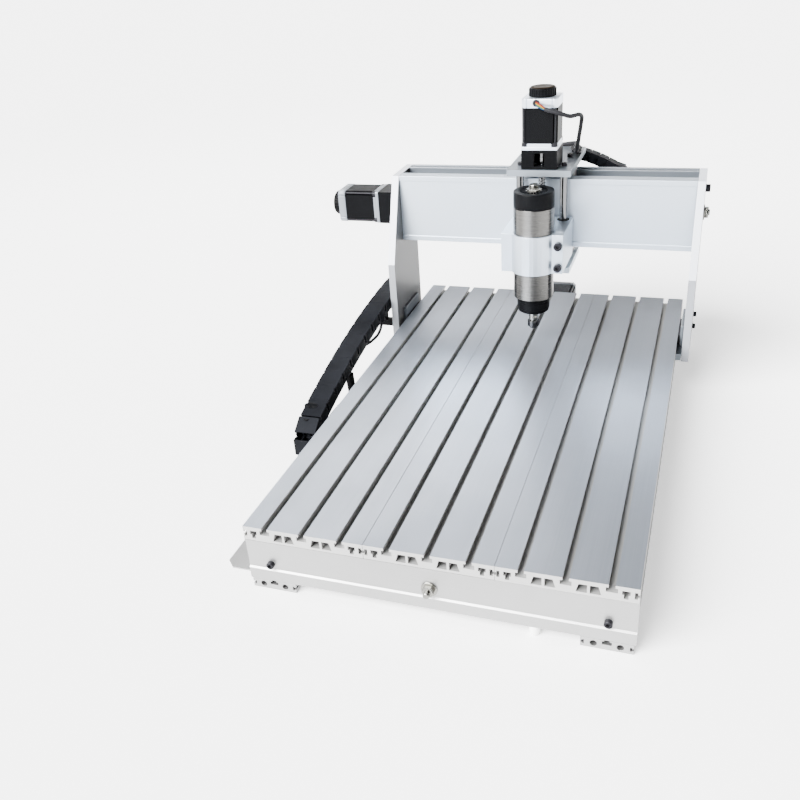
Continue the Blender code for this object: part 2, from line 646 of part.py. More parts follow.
# ================================================================ Y drive
Y_MOUNT_END = TABLE_LENGTH + SIDE_MOUNT_LENGTH
motor_mount(
    "y_motor_mount",
    "base",
    "Y",
    (0.0, Y_SCREW_ABOVE_FLOOR),
    TABLE_LENGTH,
    1,
    SIDE_MOUNT_LENGTH,
)
y_motor_end = motor("y", "base", "Y", (0.0, Y_SCREW_ABOVE_FLOOR), Y_MOUNT_END, 1, False)
knob("y_knob", "y_drive", (0.0, y_motor_end + GAP, Y_SCREW_ABOVE_FLOOR), "Y", 1)
Y_SCREW_PROFILE = solid_profile(
    (COUPLING_RADIUS, Y_MOUNT_END - GAP),
    (COUPLING_RADIUS, TABLE_LENGTH + COUPLING_SETBACK),
    (Y_SCREW_RADIUS, TABLE_LENGTH + COUPLING_SETBACK),
    (Y_SCREW_RADIUS, BEAM_THICKNESS + GAP),
    (Y_STUD_RADIUS, BEAM_THICKNESS + GAP),
    (Y_STUD_RADIUS, BEAM_RECESS - GAP),
    (Y_WASHER_RADIUS, BEAM_RECESS - GAP),
    (Y_WASHER_RADIUS, BEAM_RECESS - GAP - Y_WASHER_HEIGHT),
    (Y_NUT_RADIUS, BEAM_RECESS - GAP - Y_WASHER_HEIGHT),
    (Y_NUT_RADIUS, BEAM_RECESS - GAP - Y_WASHER_HEIGHT - Y_NUT_HEIGHT),
    (Y_STUD_RADIUS, BEAM_RECESS - GAP - Y_WASHER_HEIGHT - Y_NUT_HEIGHT),
    (Y_STUD_RADIUS, -Y_STUD_PROUD),
)
turned("y_screw", "y_drive", "steel", Y_SCREW_PROFILE, (0.0, 0.0, Y_SCREW_ABOVE_FLOOR), "Y")


# ================================================================ gantry
def side_plate(name, low, high, drive_hole):
    """A gantry side plate, its front edge slanting forward down to the kink."""
    outline = [
        (GANTRY_BACK, PLATE_FLOOR_GAP),
        (GANTRY_BACK, PANEL_TOP),
        (PANEL_FRONT, PANEL_TOP),
        (FOOT_FRONT, PLATE_KINK_HEIGHT),
        (FOOT_FRONT, PLATE_FLOOR_GAP),
    ]
    hole = circle(X_AXIS_Y, X_AXIS_Z, drive_hole)
    extruded(name, "gantry", "satin_anodised", "X", low, high, outline, [hole])


LEFT_HOLE = X_SCREW_RADIUS + SCREW_HOLE_CLEARANCE
RIGHT_HOLE = X_STUD_RADIUS + SCREW_HOLE_CLEARANCE
side_plate("left_gantry_plate", -PLATE_OUTER, -PLATE_INNER, LEFT_HOLE)
side_plate("right_gantry_plate", PLATE_INNER, PLATE_OUTER, RIGHT_HOLE)

SPAN = PLATE_INNER - GAP
panel_outline = [
    (PANEL_FRONT, PANEL_BOTTOM),
    (GROOVE_FRONT, PANEL_BOTTOM),
    (GROOVE_FRONT, PANEL_TOP),
    (PANEL_FRONT, PANEL_TOP),
    (PANEL_FRONT, PANEL_TOP - PANEL_LIP),
    (PANEL_FRONT + PANEL_RECESS, PANEL_TOP - PANEL_LIP),
    (PANEL_FRONT + PANEL_RECESS, PANEL_BOTTOM + PANEL_LIP),
    (PANEL_FRONT, PANEL_BOTTOM + PANEL_LIP),
]
extruded("gantry_front_panel", "gantry", "satin_anodised", "X", -SPAN, SPAN, panel_outline)


def rear_member():
    """The T-slotted rear extrusion of the beam, with slots in its top and bottom edges."""
    middle = (GROOVE_BACK + GANTRY_BACK) / 2
    steps = [
        (REAR_SLOT_MOUTH / 2, 0.0),
        (REAR_SLOT_MOUTH / 2, REAR_SLOT_LIP),
        (REAR_SLOT_CAVITY / 2, REAR_SLOT_LIP),
        (REAR_SLOT_CAVITY / 2, REAR_SLOT_DEPTH),
    ]
    top = [(middle + u, PANEL_TOP - v) for u, v in steps]
    top += [(middle - u, PANEL_TOP - v) for u, v in reversed(steps)]
    bottom = [(middle - u, PANEL_BOTTOM + v) for u, v in steps]
    bottom += [(middle + u, PANEL_BOTTOM + v) for u, v in reversed(steps)]
    outline = [(GANTRY_BACK, PANEL_BOTTOM), (GANTRY_BACK, PANEL_TOP), *top]
    outline += [(GROOVE_BACK, PANEL_TOP), (GROOVE_BACK, PANEL_BOTTOM), *bottom]
    extruded("gantry_rear_member", "gantry", "satin_anodised", "X", -SPAN, SPAN, outline)


rear_member()
box(
    "gantry_cross_plate",
    "gantry",
    "satin_anodised",
    (-SPAN, FOOT_FRONT, CROSS_BOTTOM),
    (SPAN, GANTRY_BACK, CROSS_TOP),
)


def hung_block(name, centre, width, depth, ends, bore, bore_z):
    """A block under the cross plate that runs on a rod or a screw."""
    top = CROSS_BOTTOM - GAP
    outline = rectangle(centre - width / 2, top - depth, centre + width / 2, top)
    hole = circle(centre, bore_z, bore + RUN_GAP)
    extruded(name, "gantry", "silver_aluminium", "Y", *ends, outline, [hole])


BEARING_ENDS = (FOOT_FRONT + BEARING_END_INSET, GANTRY_BACK - BEARING_END_INSET)
for bearing_name, bearing_x in (("left_y_bearing", -Y_ROD_X), ("right_y_bearing", Y_ROD_X)):
    hung_block(
        bearing_name,
        bearing_x,
        BEARING_WIDTH,
        BEARING_DEPTH,
        BEARING_ENDS,
        Y_ROD_RADIUS,
        Y_ROD_ABOVE_FLOOR,
    )
FOOT_MIDDLE = (FOOT_FRONT + GANTRY_BACK) / 2
hung_block(
    "y_nut_block",
    0.0,
    Y_NUT_BLOCK_WIDTH,
    Y_NUT_BLOCK_DEPTH,
    (FOOT_MIDDLE - Y_NUT_BLOCK_LENGTH / 2, FOOT_MIDDLE + Y_NUT_BLOCK_LENGTH / 2),
    Y_SCREW_RADIUS,
    Y_SCREW_ABOVE_FLOOR,
)

for side_name, side in (("left_side_block", -1), ("right_side_block", 1)):
    xs = sorted((side * (SPAN - SIDE_BLOCK_THICKNESS), side * SPAN))
    box(
        side_name,
        "gantry",
        "silver_aluminium",
        (xs[0], FOOT_FRONT + SIDE_BLOCK_INSET, CROSS_TOP + GAP),
        (xs[1], FOOT_FRONT + SIDE_BLOCK_INSET + SIDE_BLOCK_LENGTH, TABLE_TOP + SIDE_BLOCK_ABOVE_TABLE),
        0.001,
    )

for rod_name, rod_z in (
    ("upper_x_rod", X_AXIS_Z + X_ROD_SPREAD),
    ("lower_x_rod", X_AXIS_Z - X_ROD_SPREAD),
):
    rod_ends = ((-SPAN, X_AXIS_Y, rod_z), (SPAN, X_AXIS_Y, rod_z))
    cylinder_between(rod_name, "gantry", "steel", *rod_ends, X_ROD_RADIUS, "X")

# ================================================================ X drive
X_AXIS = (X_AXIS_Y, X_AXIS_Z)
motor_mount("x_motor_mount", "gantry", "X", X_AXIS, -PLATE_OUTER, -1, SIDE_MOUNT_LENGTH)
X_MOUNT_END = -PLATE_OUTER - SIDE_MOUNT_LENGTH
x_motor_end = motor("x", "gantry", "X", X_AXIS, X_MOUNT_END, -1, True)
knob("x_knob", "x_drive", (x_motor_end - GAP, X_AXIS_Y, X_AXIS_Z), "X", -1)
X_SCREW_PROFILE = solid_profile(
    (X_STUD_RADIUS, PLATE_OUTER + X_STUD_PROUD),
    (X_STUD_RADIUS, PLATE_OUTER + GAP + X_NUT_HEIGHT),
    (X_NUT_RADIUS, PLATE_OUTER + GAP + X_NUT_HEIGHT),
    (X_NUT_RADIUS, PLATE_OUTER + GAP),
    (X_STUD_RADIUS, PLATE_OUTER + GAP),
    (X_STUD_RADIUS, PLATE_INNER - GAP),
    (X_SCREW_RADIUS, PLATE_INNER - GAP),
    (X_SCREW_RADIUS, -PLATE_OUTER - COUPLING_SETBACK),
    (COUPLING_RADIUS, -PLATE_OUTER - COUPLING_SETBACK),
    (COUPLING_RADIUS, X_MOUNT_END + GAP),
)
turned("x_screw", "x_drive", "steel", X_SCREW_PROFILE, (0.0, X_AXIS_Y, X_AXIS_Z), "X")

# ================================================================ X carriage
CARRIAGE_LEFT = CARRIAGE_X - CARRIAGE_WIDTH / 2
CARRIAGE_RIGHT = CARRIAGE_X + CARRIAGE_WIDTH / 2
TAB_RIGHT = CARRIAGE_X + X_CHAIN_START
TAB_LEFT = TAB_RIGHT - X_CHAIN_WIDTH
TAB_BACK = X_CHAIN_FRONT + X_CHAIN_WIDTH
top_outline = [
    (CARRIAGE_LEFT, TOP_PLATE_FRONT),
    (CARRIAGE_RIGHT, TOP_PLATE_FRONT),
    (CARRIAGE_RIGHT, TOP_PLATE_BACK),
    (TAB_RIGHT - GAP, TOP_PLATE_BACK),
    (TAB_RIGHT - GAP, TAB_BACK),
    (TAB_LEFT, TAB_BACK),
    (TAB_LEFT, TOP_PLATE_BACK),
    (CARRIAGE_LEFT, TOP_PLATE_BACK),
]
extruded(
    "carriage_top_plate",
    "x_carriage",
    "satin_anodised",
    "Z",
    TOP_PLATE_BOTTOM,
    TOP_PLATE_TOP,
    top_outline,
    [circle(CARRIAGE_X, Z_AXIS_Y, Z_SCREW_RADIUS + SCREW_HOLE_CLEARANCE)],
)
bottom_plate = as_mesh(
    extruded(
        "carriage_bottom_plate",
        "x_carriage",
        "satin_anodised",
        "Z",
        BOTTOM_PLATE_TOP - CARRIAGE_PLATE,
        BOTTOM_PLATE_TOP,
        rectangle(
            CARRIAGE_LEFT,
            PANEL_FRONT - BOTTOM_PLATE_FRONT,
            CARRIAGE_RIGHT,
            PANEL_FRONT + BOTTOM_PLATE_REAR,
        ),
    )
)
seat = cylinder_between(
    "screw_foot_seat",
    "x_carriage",
    None,
    (CARRIAGE_X, Z_AXIS_Y, BOTTOM_PLATE_TOP - Z_SCREW_SEAT),
    (CARRIAGE_X, Z_AXIS_Y, BOTTOM_PLATE_TOP + Z_SCREW_SEAT),
    Z_SCREW_RADIUS + RUN_GAP,
    "Z",
)
cut(bottom_plate, seat)
extruded(
    "x_bearing_block",
    "x_carriage",
    "silver_aluminium",
    "X",
    CARRIAGE_X - X_BLOCK_WIDTH / 2,
    CARRIAGE_X + X_BLOCK_WIDTH / 2,
    rectangle(
        GROOVE_FRONT + GROOVE_CLEARANCE,
        BOTTOM_PLATE_TOP + GAP,
        GROOVE_BACK - GROOVE_CLEARANCE,
        TOP_PLATE_BOTTOM - GAP,
    ),
    [
        circle(X_AXIS_Y, X_AXIS_Z + X_ROD_SPREAD, X_ROD_RADIUS + RUN_GAP),
        circle(X_AXIS_Y, X_AXIS_Z, X_SCREW_RADIUS + RUN_GAP),
        circle(X_AXIS_Y, X_AXIS_Z - X_ROD_SPREAD, X_ROD_RADIUS + RUN_GAP),
    ],
)
for rod_name, side in (("left_z_rod", -1), ("right_z_rod", 1)):
    rod_x = CARRIAGE_X + side * Z_ROD_SPREAD
    cylinder_between(
        rod_name,
        "x_carriage",
        "steel",
        (rod_x, Z_AXIS_Y, BOTTOM_PLATE_TOP + GAP),
        (rod_x, Z_AXIS_Y, TOP_PLATE_BOTTOM - GAP),
        Z_ROD_RADIUS,
        "Z",
    )

# ================================================================ Z drive
Z_AXIS = (CARRIAGE_X, Z_AXIS_Y)
z_mount = as_mesh(
    motor_mount("z_motor_mount", "x_carriage", "Z", Z_AXIS, TOP_PLATE_TOP, 1, Z_MOUNT_LENGTH)
)
window_z = TOP_PLATE_TOP + Z_MOUNT_LENGTH / 2
window = box(
    "coupling_window",
    "x_carriage",
    None,
    (CARRIAGE_X - WINDOW_WIDTH / 2, Z_AXIS_Y - MOTOR_SIZE, window_z - WINDOW_HEIGHT / 2),
    (CARRIAGE_X + WINDOW_WIDTH / 2, Z_AXIS_Y, window_z + WINDOW_HEIGHT / 2),
)
cut(z_mount, window)
Z_MOUNT_END = TOP_PLATE_TOP + Z_MOUNT_LENGTH
z_motor_end = motor("z", "x_carriage", "Z", Z_AXIS, Z_MOUNT_END, 1, True)
knob("z_knob", "z_drive", (CARRIAGE_X, Z_AXIS_Y, z_motor_end + GAP), "Z", 1)
Z_SCREW_PROFILE = solid_profile(
    (COUPLING_RADIUS, Z_MOUNT_END - GAP),
    (COUPLING_RADIUS, TOP_PLATE_TOP + COUPLING_SETBACK),
    (Z_SCREW_RADIUS, TOP_PLATE_TOP + COUPLING_SETBACK),
    (Z_SCREW_RADIUS, BOTTOM_PLATE_TOP - Z_SCREW_SEAT + GAP),
)
turned("z_screw", "z_drive", "steel", Z_SCREW_PROFILE, (CARRIAGE_X, Z_AXIS_Y, 0.0))

# ================================================================ Z slide and spindle
SLIDE_BACK = PANEL_FRONT - SLIDE_PANEL_GAP
SPLIT_ANGLE = math.degrees(math.asin(GAP / 2 / (SPINDLE_RADIUS + GAP)))
slide_bore = arc(CARRIAGE_X, SPINDLE_Y, SPINDLE_RADIUS + GAP, SPLIT_ANGLE, 180 - SPLIT_ANGLE, 16)
slide_outline = [
    *slide_bore,
    (CARRIAGE_X - SLIDE_WIDTH / 2, SPINDLE_Y + GAP / 2),
    (CARRIAGE_X - SLIDE_WIDTH / 2, SLIDE_BACK),
    (CARRIAGE_X + SLIDE_WIDTH / 2, SLIDE_BACK),
    (CARRIAGE_X + SLIDE_WIDTH / 2, SPINDLE_Y + GAP / 2),
]
extruded(
    "z_slide_block",
    "z_slide",
    "satin_anodised",
    "Z",
    SLIDE_BOTTOM,
    SLIDE_TOP,
    slide_outline,
    [
        circle(CARRIAGE_X - Z_ROD_SPREAD, Z_AXIS_Y, Z_ROD_RADIUS + RUN_GAP),
        circle(CARRIAGE_X, Z_AXIS_Y, Z_SCREW_RADIUS + RUN_GAP),
        circle(CARRIAGE_X + Z_ROD_SPREAD, Z_AXIS_Y, Z_ROD_RADIUS + RUN_GAP),
    ],
)
CLAMP_RADIUS = SPINDLE_RADIUS + GAP + CLAMP_WALL
FACE_ANGLE = math.degrees(math.asin(CLAMP_FACE / CLAMP_RADIUS))
CLAMP_FRONT = SPINDLE_Y - CLAMP_FACE
clamp_outline = [
    *arc(CARRIAGE_X, SPINDLE_Y, SPINDLE_RADIUS + GAP, -180 + SPLIT_ANGLE, -SPLIT_ANGLE, 16),
    (CARRIAGE_X + SLIDE_WIDTH / 2, SPINDLE_Y - GAP / 2),
    (CARRIAGE_X + SLIDE_WIDTH / 2, CLAMP_FRONT),
    *arc(CARRIAGE_X, SPINDLE_Y, CLAMP_RADIUS, -FACE_ANGLE, -180 + FACE_ANGLE, 12),
    (CARRIAGE_X - SLIDE_WIDTH / 2, CLAMP_FRONT),
    (CARRIAGE_X - SLIDE_WIDTH / 2, SPINDLE_Y - GAP / 2),
]
extruded("spindle_clamp", "z_slide", "satin_anodised", "Z", SLIDE_BOTTOM, SLIDE_TOP, clamp_outline)

SPINDLE_AXIS = (CARRIAGE_X, SPINDLE_Y, 0.0)
body_steps = ((SPINDLE_RADIUS, BODY_TOP), (SPINDLE_RADIUS, BODY_BOTTOM))
turned("spindle_body", "z_slide", "steel", solid_profile(*body_steps), SPINDLE_AXIS)
CAP_TOP = BODY_TOP + GAP + SPINDLE_CAP_HEIGHT
cap_steps = (
    (SPINDLE_RADIUS - KNOB_CHAMFER, CAP_TOP),
    (SPINDLE_RADIUS, CAP_TOP - KNOB_CHAMFER),
    (SPINDLE_RADIUS, BODY_TOP + GAP),
)
turned("spindle_cap", "z_slide", "black_anodised", solid_profile(*cap_steps), SPINDLE_AXIS)
connector_steps = (
    (CONNECTOR_RADIUS, CAP_TOP + GAP + CONNECTOR_HEIGHT),
    (CONNECTOR_RADIUS, CAP_TOP + GAP),
)
turned("spindle_connector", "z_slide", "steel", solid_profile(*connector_steps), SPINDLE_AXIS)
NOSE_TOP = BODY_BOTTOM - GAP
NOSE_BOTTOM = NOSE_TOP - NOSE_HEIGHT
NOSE_BORE = SHAFT_RADIUS + RUN_GAP
nose_profile = [
    (0.0, NOSE_TOP),
    (NOSE_RADIUS, NOSE_TOP),
    (NOSE_RADIUS, NOSE_BOTTOM + KNOB_CHAMFER),
    (NOSE_RADIUS - KNOB_CHAMFER, NOSE_BOTTOM),
    (NOSE_BORE, NOSE_BOTTOM),
    (NOSE_BORE, NOSE_BOTTOM + NOSE_BORE_DEPTH),
    (0.0, NOSE_BOTTOM + NOSE_BORE_DEPTH),
]
turned("spindle_nose", "z_slide", "black_anodised", nose_profile, SPINDLE_AXIS)
SHAFT_BOTTOM = NOSE_BOTTOM - SHAFT_PROUD
shaft_steps = (
    (SHAFT_RADIUS, NOSE_BOTTOM + NOSE_BORE_DEPTH - GAP),
    (SHAFT_RADIUS, SHAFT_BOTTOM),
)
turned("spindle_shaft", "spindle", "steel", solid_profile(*shaft_steps), SPINDLE_AXIS)
COLLET_TOP = SHAFT_BOTTOM - GAP
COLLET_BOTTOM = COLLET_TOP - COLLET_HEIGHT
collet_profile = [
    (0.0, COLLET_TOP),
    (COLLET_RADIUS, COLLET_TOP),
    (COLLET_RADIUS, COLLET_BOTTOM + KNOB_CHAMFER),
    (COLLET_RADIUS - KNOB_CHAMFER, COLLET_BOTTOM),
    (COLLET_BORE, COLLET_BOTTOM),
    (COLLET_BORE, COLLET_BOTTOM + COLLET_BORE_DEPTH),
    (0.0, COLLET_BOTTOM + COLLET_BORE_DEPTH),
]
turned("collet_nut", "spindle", "steel", collet_profile, SPINDLE_AXIS)

# ================================================================ Y drag chain
CHAIN_XS = (Y_CHAIN_OUTER, Y_CHAIN_INNER)
Y_CHAIN_TOP = Y_CHAIN_BOTTOM + 2 * Y_CHAIN_BEND


def y_run_top(along):
    """The height of the upper run's top at a distance from the bend."""
    return Y_CHAIN_TOP + Y_CHAIN_RISE * along * (1 - along / (2 * Y_CHAIN_LEVEL))


Y_RUN_STEPS = 8
upper_run = []
for i in range(Y_RUN_STEPS + 1):
    along_run = GAP + i / Y_RUN_STEPS * (Y_CHAIN_REACH - GAP)
    upper_run.append((Y_LOOP_Y + along_run, y_run_top(along_run)))
upper_run += [(u, v - Y_CHAIN_THICKNESS) for u, v in reversed(upper_run)]
extruded("y_chain_upper", "gantry", "chain_plastic", "X", *CHAIN_XS, upper_run)
inner_bend = Y_CHAIN_BEND - Y_CHAIN_THICKNESS
y_loop = arc(Y_LOOP_Y, Y_CHAIN_AXIS_Z, Y_CHAIN_BEND, 90, 270, 16)
y_loop += arc(Y_LOOP_Y, Y_CHAIN_AXIS_Z, inner_bend, 270, 90, 16)
extruded("y_chain_loop", "y_chain", "chain_plastic", "X", *CHAIN_XS, y_loop)
lower_run = rectangle(
    Y_LOOP_Y + GAP,
    Y_CHAIN_BOTTOM,
    Y_LOOP_Y + Y_CHAIN_LOWER,
    Y_CHAIN_BOTTOM + Y_CHAIN_THICKNESS,
)
extruded("y_chain_lower", "base", "chain_plastic", "X", *CHAIN_XS, lower_run)

TRAY_X1 = -(TABLE_HALF - RUNNER_INSET) - GAP
TRAY_X0 = TRAY_X1 - TRAY_WIDTH
tray_outline = [
    (TRAY_X1, TRAY_FRONT),
    (TRAY_X1, TRAY_FRONT + TRAY_LENGTH),
    (TRAY_X0, TRAY_FRONT + TRAY_LENGTH),
    (TRAY_X0, TRAY_FRONT + TRAY_CHAMFER),
    (TRAY_X0 + TRAY_CHAMFER, TRAY_FRONT),
]
extruded("y_chain_tray", "base", "silver_aluminium", "Z", 0.0, TRAY_SHEET, tray_outline)

ARM_Y0 = FOOT_FRONT + ARM_SETBACK
ARM_TOP = TABLE_TOP - ARM_DROP + ARM_HEIGHT
chain_bottom_at_arm = y_run_top(ARM_Y0 - Y_LOOP_Y) - Y_CHAIN_THICKNESS
ARM_X1 = -PLATE_OUTER - GAP
ARM_X0 = Y_CHAIN_OUTER + ARM_INSET
arm_outline = [
    (ARM_X0, ARM_TOP - ARM_HEIGHT),
    (ARM_X1, ARM_TOP - ARM_HEIGHT),
    (ARM_X1, ARM_TOP),
    (ARM_X0 + Y_CHAIN_WIDTH / 2, ARM_TOP),
    (ARM_X0 + Y_CHAIN_WIDTH / 2, chain_bottom_at_arm - GAP),
    (ARM_X0, chain_bottom_at_arm - GAP),
]
arm_ends = (ARM_Y0, ARM_Y0 + ARM_WIDTH)
extruded("y_chain_bracket", "gantry", "black_anodised", "Y", *arm_ends, arm_outline)

# ================================================================ X drag chain
CHAIN_YS = (X_CHAIN_FRONT, X_CHAIN_FRONT + X_CHAIN_WIDTH)
X_RUN_START = CARRIAGE_X + X_CHAIN_START
X_RUN_STEPS = 6
x_upper = []
for i in range(X_RUN_STEPS + 1):
    along_run = i / X_RUN_STEPS
    run_x = X_RUN_START + along_run * (X_LOOP_X - GAP - X_RUN_START)
    x_upper.append((run_x, X_LOOP_TOP + X_CHAIN_FALL * (1 - along_run**2)))
x_upper += [(u, v - X_CHAIN_THICKNESS) for u, v in reversed(x_upper)]
extruded("x_chain_upper", "x_carriage", "chain_plastic", "Y", *CHAIN_YS, x_upper)
x_inner_bend = X_CHAIN_BEND - X_CHAIN_THICKNESS
x_loop = arc(X_LOOP_X, X_LOOP_Z, X_CHAIN_BEND, -90, 90, 16)
x_loop += arc(X_LOOP_X, X_LOOP_Z, x_inner_bend, 90, -90, 16)
extruded("x_chain_loop", "x_chain", "chain_plastic", "Y", *CHAIN_YS, x_loop)
x_lower = rectangle(
    X_LOOP_X - X_CHAIN_LOWER,
    X_LOOP_Z - X_CHAIN_BEND,
    X_LOOP_X - GAP,
    X_LOOP_Z - X_CHAIN_BEND + X_CHAIN_THICKNESS,
)
extruded("x_chain_lower", "gantry", "chain_plastic", "Y", *CHAIN_YS, x_lower)
SHELF_Y0 = GANTRY_BACK + GAP
SHELF_Y1 = X_CHAIN_FRONT + X_CHAIN_WIDTH + SHELF_LIP
shelf_outline = [
    (SHELF_Y0, SHELF_TOP - SHELF_SHEET),
    (SHELF_Y1, SHELF_TOP - SHELF_SHEET),
    (SHELF_Y1, SHELF_TOP),
    (SHELF_Y0 + SHELF_SHEET, SHELF_TOP),
    (SHELF_Y0 + SHELF_SHEET, SHELF_TOP + SHELF_FLANGE),
    (SHELF_Y0, SHELF_TOP + SHELF_FLANGE),
]
extruded(
    "x_chain_shelf", "gantry", "silver_aluminium", "X", SHELF_LEFT, SHELF_RIGHT, shelf_outline
)


# ================================================================ Z motor lead
def smooth_route(points, steps):
    """Points along a Catmull-Rom curve through the given ones."""
    ends = [2 * points[0] - points[1], *points, 2 * points[-1] - points[-2]]
    route = []
    for i in range(1, len(ends) - 2):
        p0, p1, p2, p3 = ends[i - 1], ends[i], ends[i + 1], ends[i + 2]
        for step in range(steps):
            t = step / steps
            spread = 2 * p0 - 5 * p1 + 4 * p2 - p3
            cubic = 3 * p1 - p0 - 3 * p2 + p3
            route.append(0.5 * (2 * p1 + (p2 - p0) * t + spread * t**2 + cubic * t**3))
    return [*route, points[-1]]


cap_z = z_motor_end - MOTOR_REAR_CAP / 2
front_y = Z_AXIS_Y - MOTOR_SIZE / 2 - LEAD_RADIUS - GAP
side_x = CARRIAGE_X + MOTOR_SIZE / 2
lead_rest = TOP_PLATE_TOP + LEAD_RADIUS + 2 * GAP
lead_points = [
    Vector((CARRIAGE_X - 0.002, front_y - 0.004, cap_z - 0.002)),
    Vector((CARRIAGE_X + 0.008, front_y - 0.006, cap_z - 0.006)),
    Vector((CARRIAGE_X + 0.020, front_y - 0.006, cap_z - 0.009)),
    Vector((side_x + 0.005, front_y - 0.001, cap_z - 0.014)),
    Vector((side_x + 0.018, front_y + 0.014, cap_z - 0.021)),
    Vector((side_x + 0.028, front_y + 0.032, cap_z - 0.022)),
    Vector((side_x + 0.031, front_y + 0.045, cap_z - 0.028)),
    Vector((side_x + 0.029, front_y + 0.054, cap_z - 0.041)),
    Vector((side_x + 0.025, front_y + 0.064, cap_z - 0.062)),
    Vector((side_x + 0.021, front_y + 0.076, cap_z - 0.083)),
    Vector((side_x + 0.017, front_y + 0.092, lead_rest + 0.005)),
    Vector((side_x + 0.012, front_y + 0.112, lead_rest)),
    Vector((side_x + 0.004, front_y + 0.134, lead_rest)),
]
lead = bpy.data.curves.new("z_motor_lead", "CURVE")
lead.dimensions = "3D"
lead.bevel_depth = LEAD_RADIUS
lead.bevel_resolution = 2
lead.use_fill_caps = True
route = smooth_route(lead_points, 3)
spline = lead.splines.new("POLY")
spline.points.add(len(route) - 1)
for point, place_at in zip(spline.points, route):
    point.co = (*place_at, 1.0)
place(bpy.data.objects.new("z_motor_lead", lead), "x_carriage", "black_sleeve", (0.0, 0.0, 0.0))
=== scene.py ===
"""The finished look of a desktop CNC router: materials, small pieces, floor, lights and camera.

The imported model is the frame. Sizes and places below are read from its nodes or given in metres.
"""

import math

import bmesh
import bpy
from mathutils import Matrix, Vector


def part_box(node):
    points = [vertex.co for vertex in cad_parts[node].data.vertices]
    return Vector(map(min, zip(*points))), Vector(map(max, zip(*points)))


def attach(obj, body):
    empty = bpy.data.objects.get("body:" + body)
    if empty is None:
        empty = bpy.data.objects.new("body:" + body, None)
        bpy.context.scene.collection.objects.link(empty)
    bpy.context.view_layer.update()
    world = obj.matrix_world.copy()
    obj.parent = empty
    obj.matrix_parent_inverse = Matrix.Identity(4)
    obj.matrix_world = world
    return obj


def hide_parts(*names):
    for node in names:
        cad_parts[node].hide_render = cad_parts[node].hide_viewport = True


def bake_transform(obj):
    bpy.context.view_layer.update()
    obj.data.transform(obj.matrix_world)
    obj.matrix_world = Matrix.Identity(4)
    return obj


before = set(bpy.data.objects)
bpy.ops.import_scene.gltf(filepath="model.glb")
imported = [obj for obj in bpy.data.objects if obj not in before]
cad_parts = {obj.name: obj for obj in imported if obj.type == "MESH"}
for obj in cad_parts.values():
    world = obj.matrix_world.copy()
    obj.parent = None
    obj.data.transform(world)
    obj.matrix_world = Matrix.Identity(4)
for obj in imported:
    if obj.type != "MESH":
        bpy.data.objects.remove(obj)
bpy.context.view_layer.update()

bl_info = {
    "name": "CNC Router",
    "version": (1, 0, 0),
    "blender": (4, 5, 0),
    "location": "3D View > Sidebar > Router",
    "description": "Finishes and small pieces of a moving-gantry CNC router",
    "category": "Add Mesh",
}

BOX = {node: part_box(node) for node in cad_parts}
MM = 0.001
FIT_GAP = 0.3 * MM
WELD_GAP = 1e-6

# Largest angle, in degrees, over which a round face is shaded smooth.
SMOOTH_ANGLE = 35.0
THREAD_ANGLE = 28.0
CORD_ANGLE = 60.0


def middle(node):
    """The centre of a node's box."""
    low, high = BOX[node]
    return (low + high) / 2


def extent(node):
    """The lengths of a node's box."""
    low, high = BOX[node]
    return high - low


SPINDLE_AXIS = middle("spindle_body")
Z_MOTOR_AXIS = middle("z_motor_stack")

MOTOR_SIZE = extent("z_motor_front_cap").x
FRONT_LENGTH = extent("z_motor_front_cap").z
STACK_LENGTH = extent("z_motor_stack").z
REAR_LENGTH = extent("z_motor_rear_cap").z


# ============================================================== sizes and colours
def length(label, text, default):
    """A length that the panel shows."""
    return bpy.props.FloatProperty(name=label, description=text, default=default, unit="LENGTH")


def colour(label, text, default):
    """A colour that the panel shows."""
    return bpy.props.FloatVectorProperty(
        name=label, description=text, default=default, subtype="COLOR", size=3, min=0.0, max=1.0
    )


class RouterSizes(bpy.types.PropertyGroup):
    """Sizes of the small pieces."""

    edge: length("Edge break", "Rounding along the edges of plates and profiles", 0.35 * MM)
    screw_pitch: length("Lead", "Travel of a lead screw for each turn", 5.0 * MM)
    thread_depth: length("Thread depth", "Depth of a lead screw's groove", 1.1 * MM)
    sheet: length("Lamination", "Thickness of one step in a motor's stack", 1.5 * MM)
    y_link: length("Y link pitch", "Pitch of the long drag chain's links", 37.0 * MM)
    x_link: length("X link pitch", "Pitch of the short drag chain's links", 17.0 * MM)
    large_head: length("Large head", "Radius of an M6 cap screw's head", 5.0 * MM)
    small_head: length("Small head", "Radius of an M5 cap screw's head", 4.25 * MM)
    flutes: bpy.props.IntProperty(
        name="Flutes", description="Ribs round a hand knob", default=30, min=6, max=60
    )


class RouterColours(bpy.types.PropertyGroup):
    """Colours of the finishes."""

    table: colour("Table", "Brushed table profiles", (0.270, 0.295, 0.34))
    slot: colour("Slots", "Walls and ends of the table profiles", (0.36, 0.36, 0.355))
    profile: colour("Profiles", "Bright extrusions", (0.33, 0.33, 0.33))
    plate: colour("Plates", "Clear anodised plates", (0.43, 0.485, 0.55))
    edge: colour("Plate edges", "Milled edges of the gantry's side plates", (0.44, 0.46, 0.50))
    cap: colour("Motor caps", "Cast caps", (0.60, 0.655, 0.73))
    stack: colour("Motor stack", "Black laminations", (0.0016, 0.0017, 0.0020))
    black: colour("Black parts", "Black anodised mounts and caps", (0.0013, 0.0014, 0.0017))
    steel: colour("Steel", "Ground rods and lead screws", (0.12, 0.122, 0.126))
    spindle: colour("Spindle", "Turned spindle tube", (0.100, 0.098, 0.094))
    chain: colour("Chains", "Moulded drag chains", (0.0042, 0.0046, 0.0058))
    knob: colour("Knob crown", "Dark bronze crown of a hand knob", (0.0050, 0.0030, 0.0013))
    floor: colour("Floor", "The pale floor", (0.80, 0.80, 0.80))


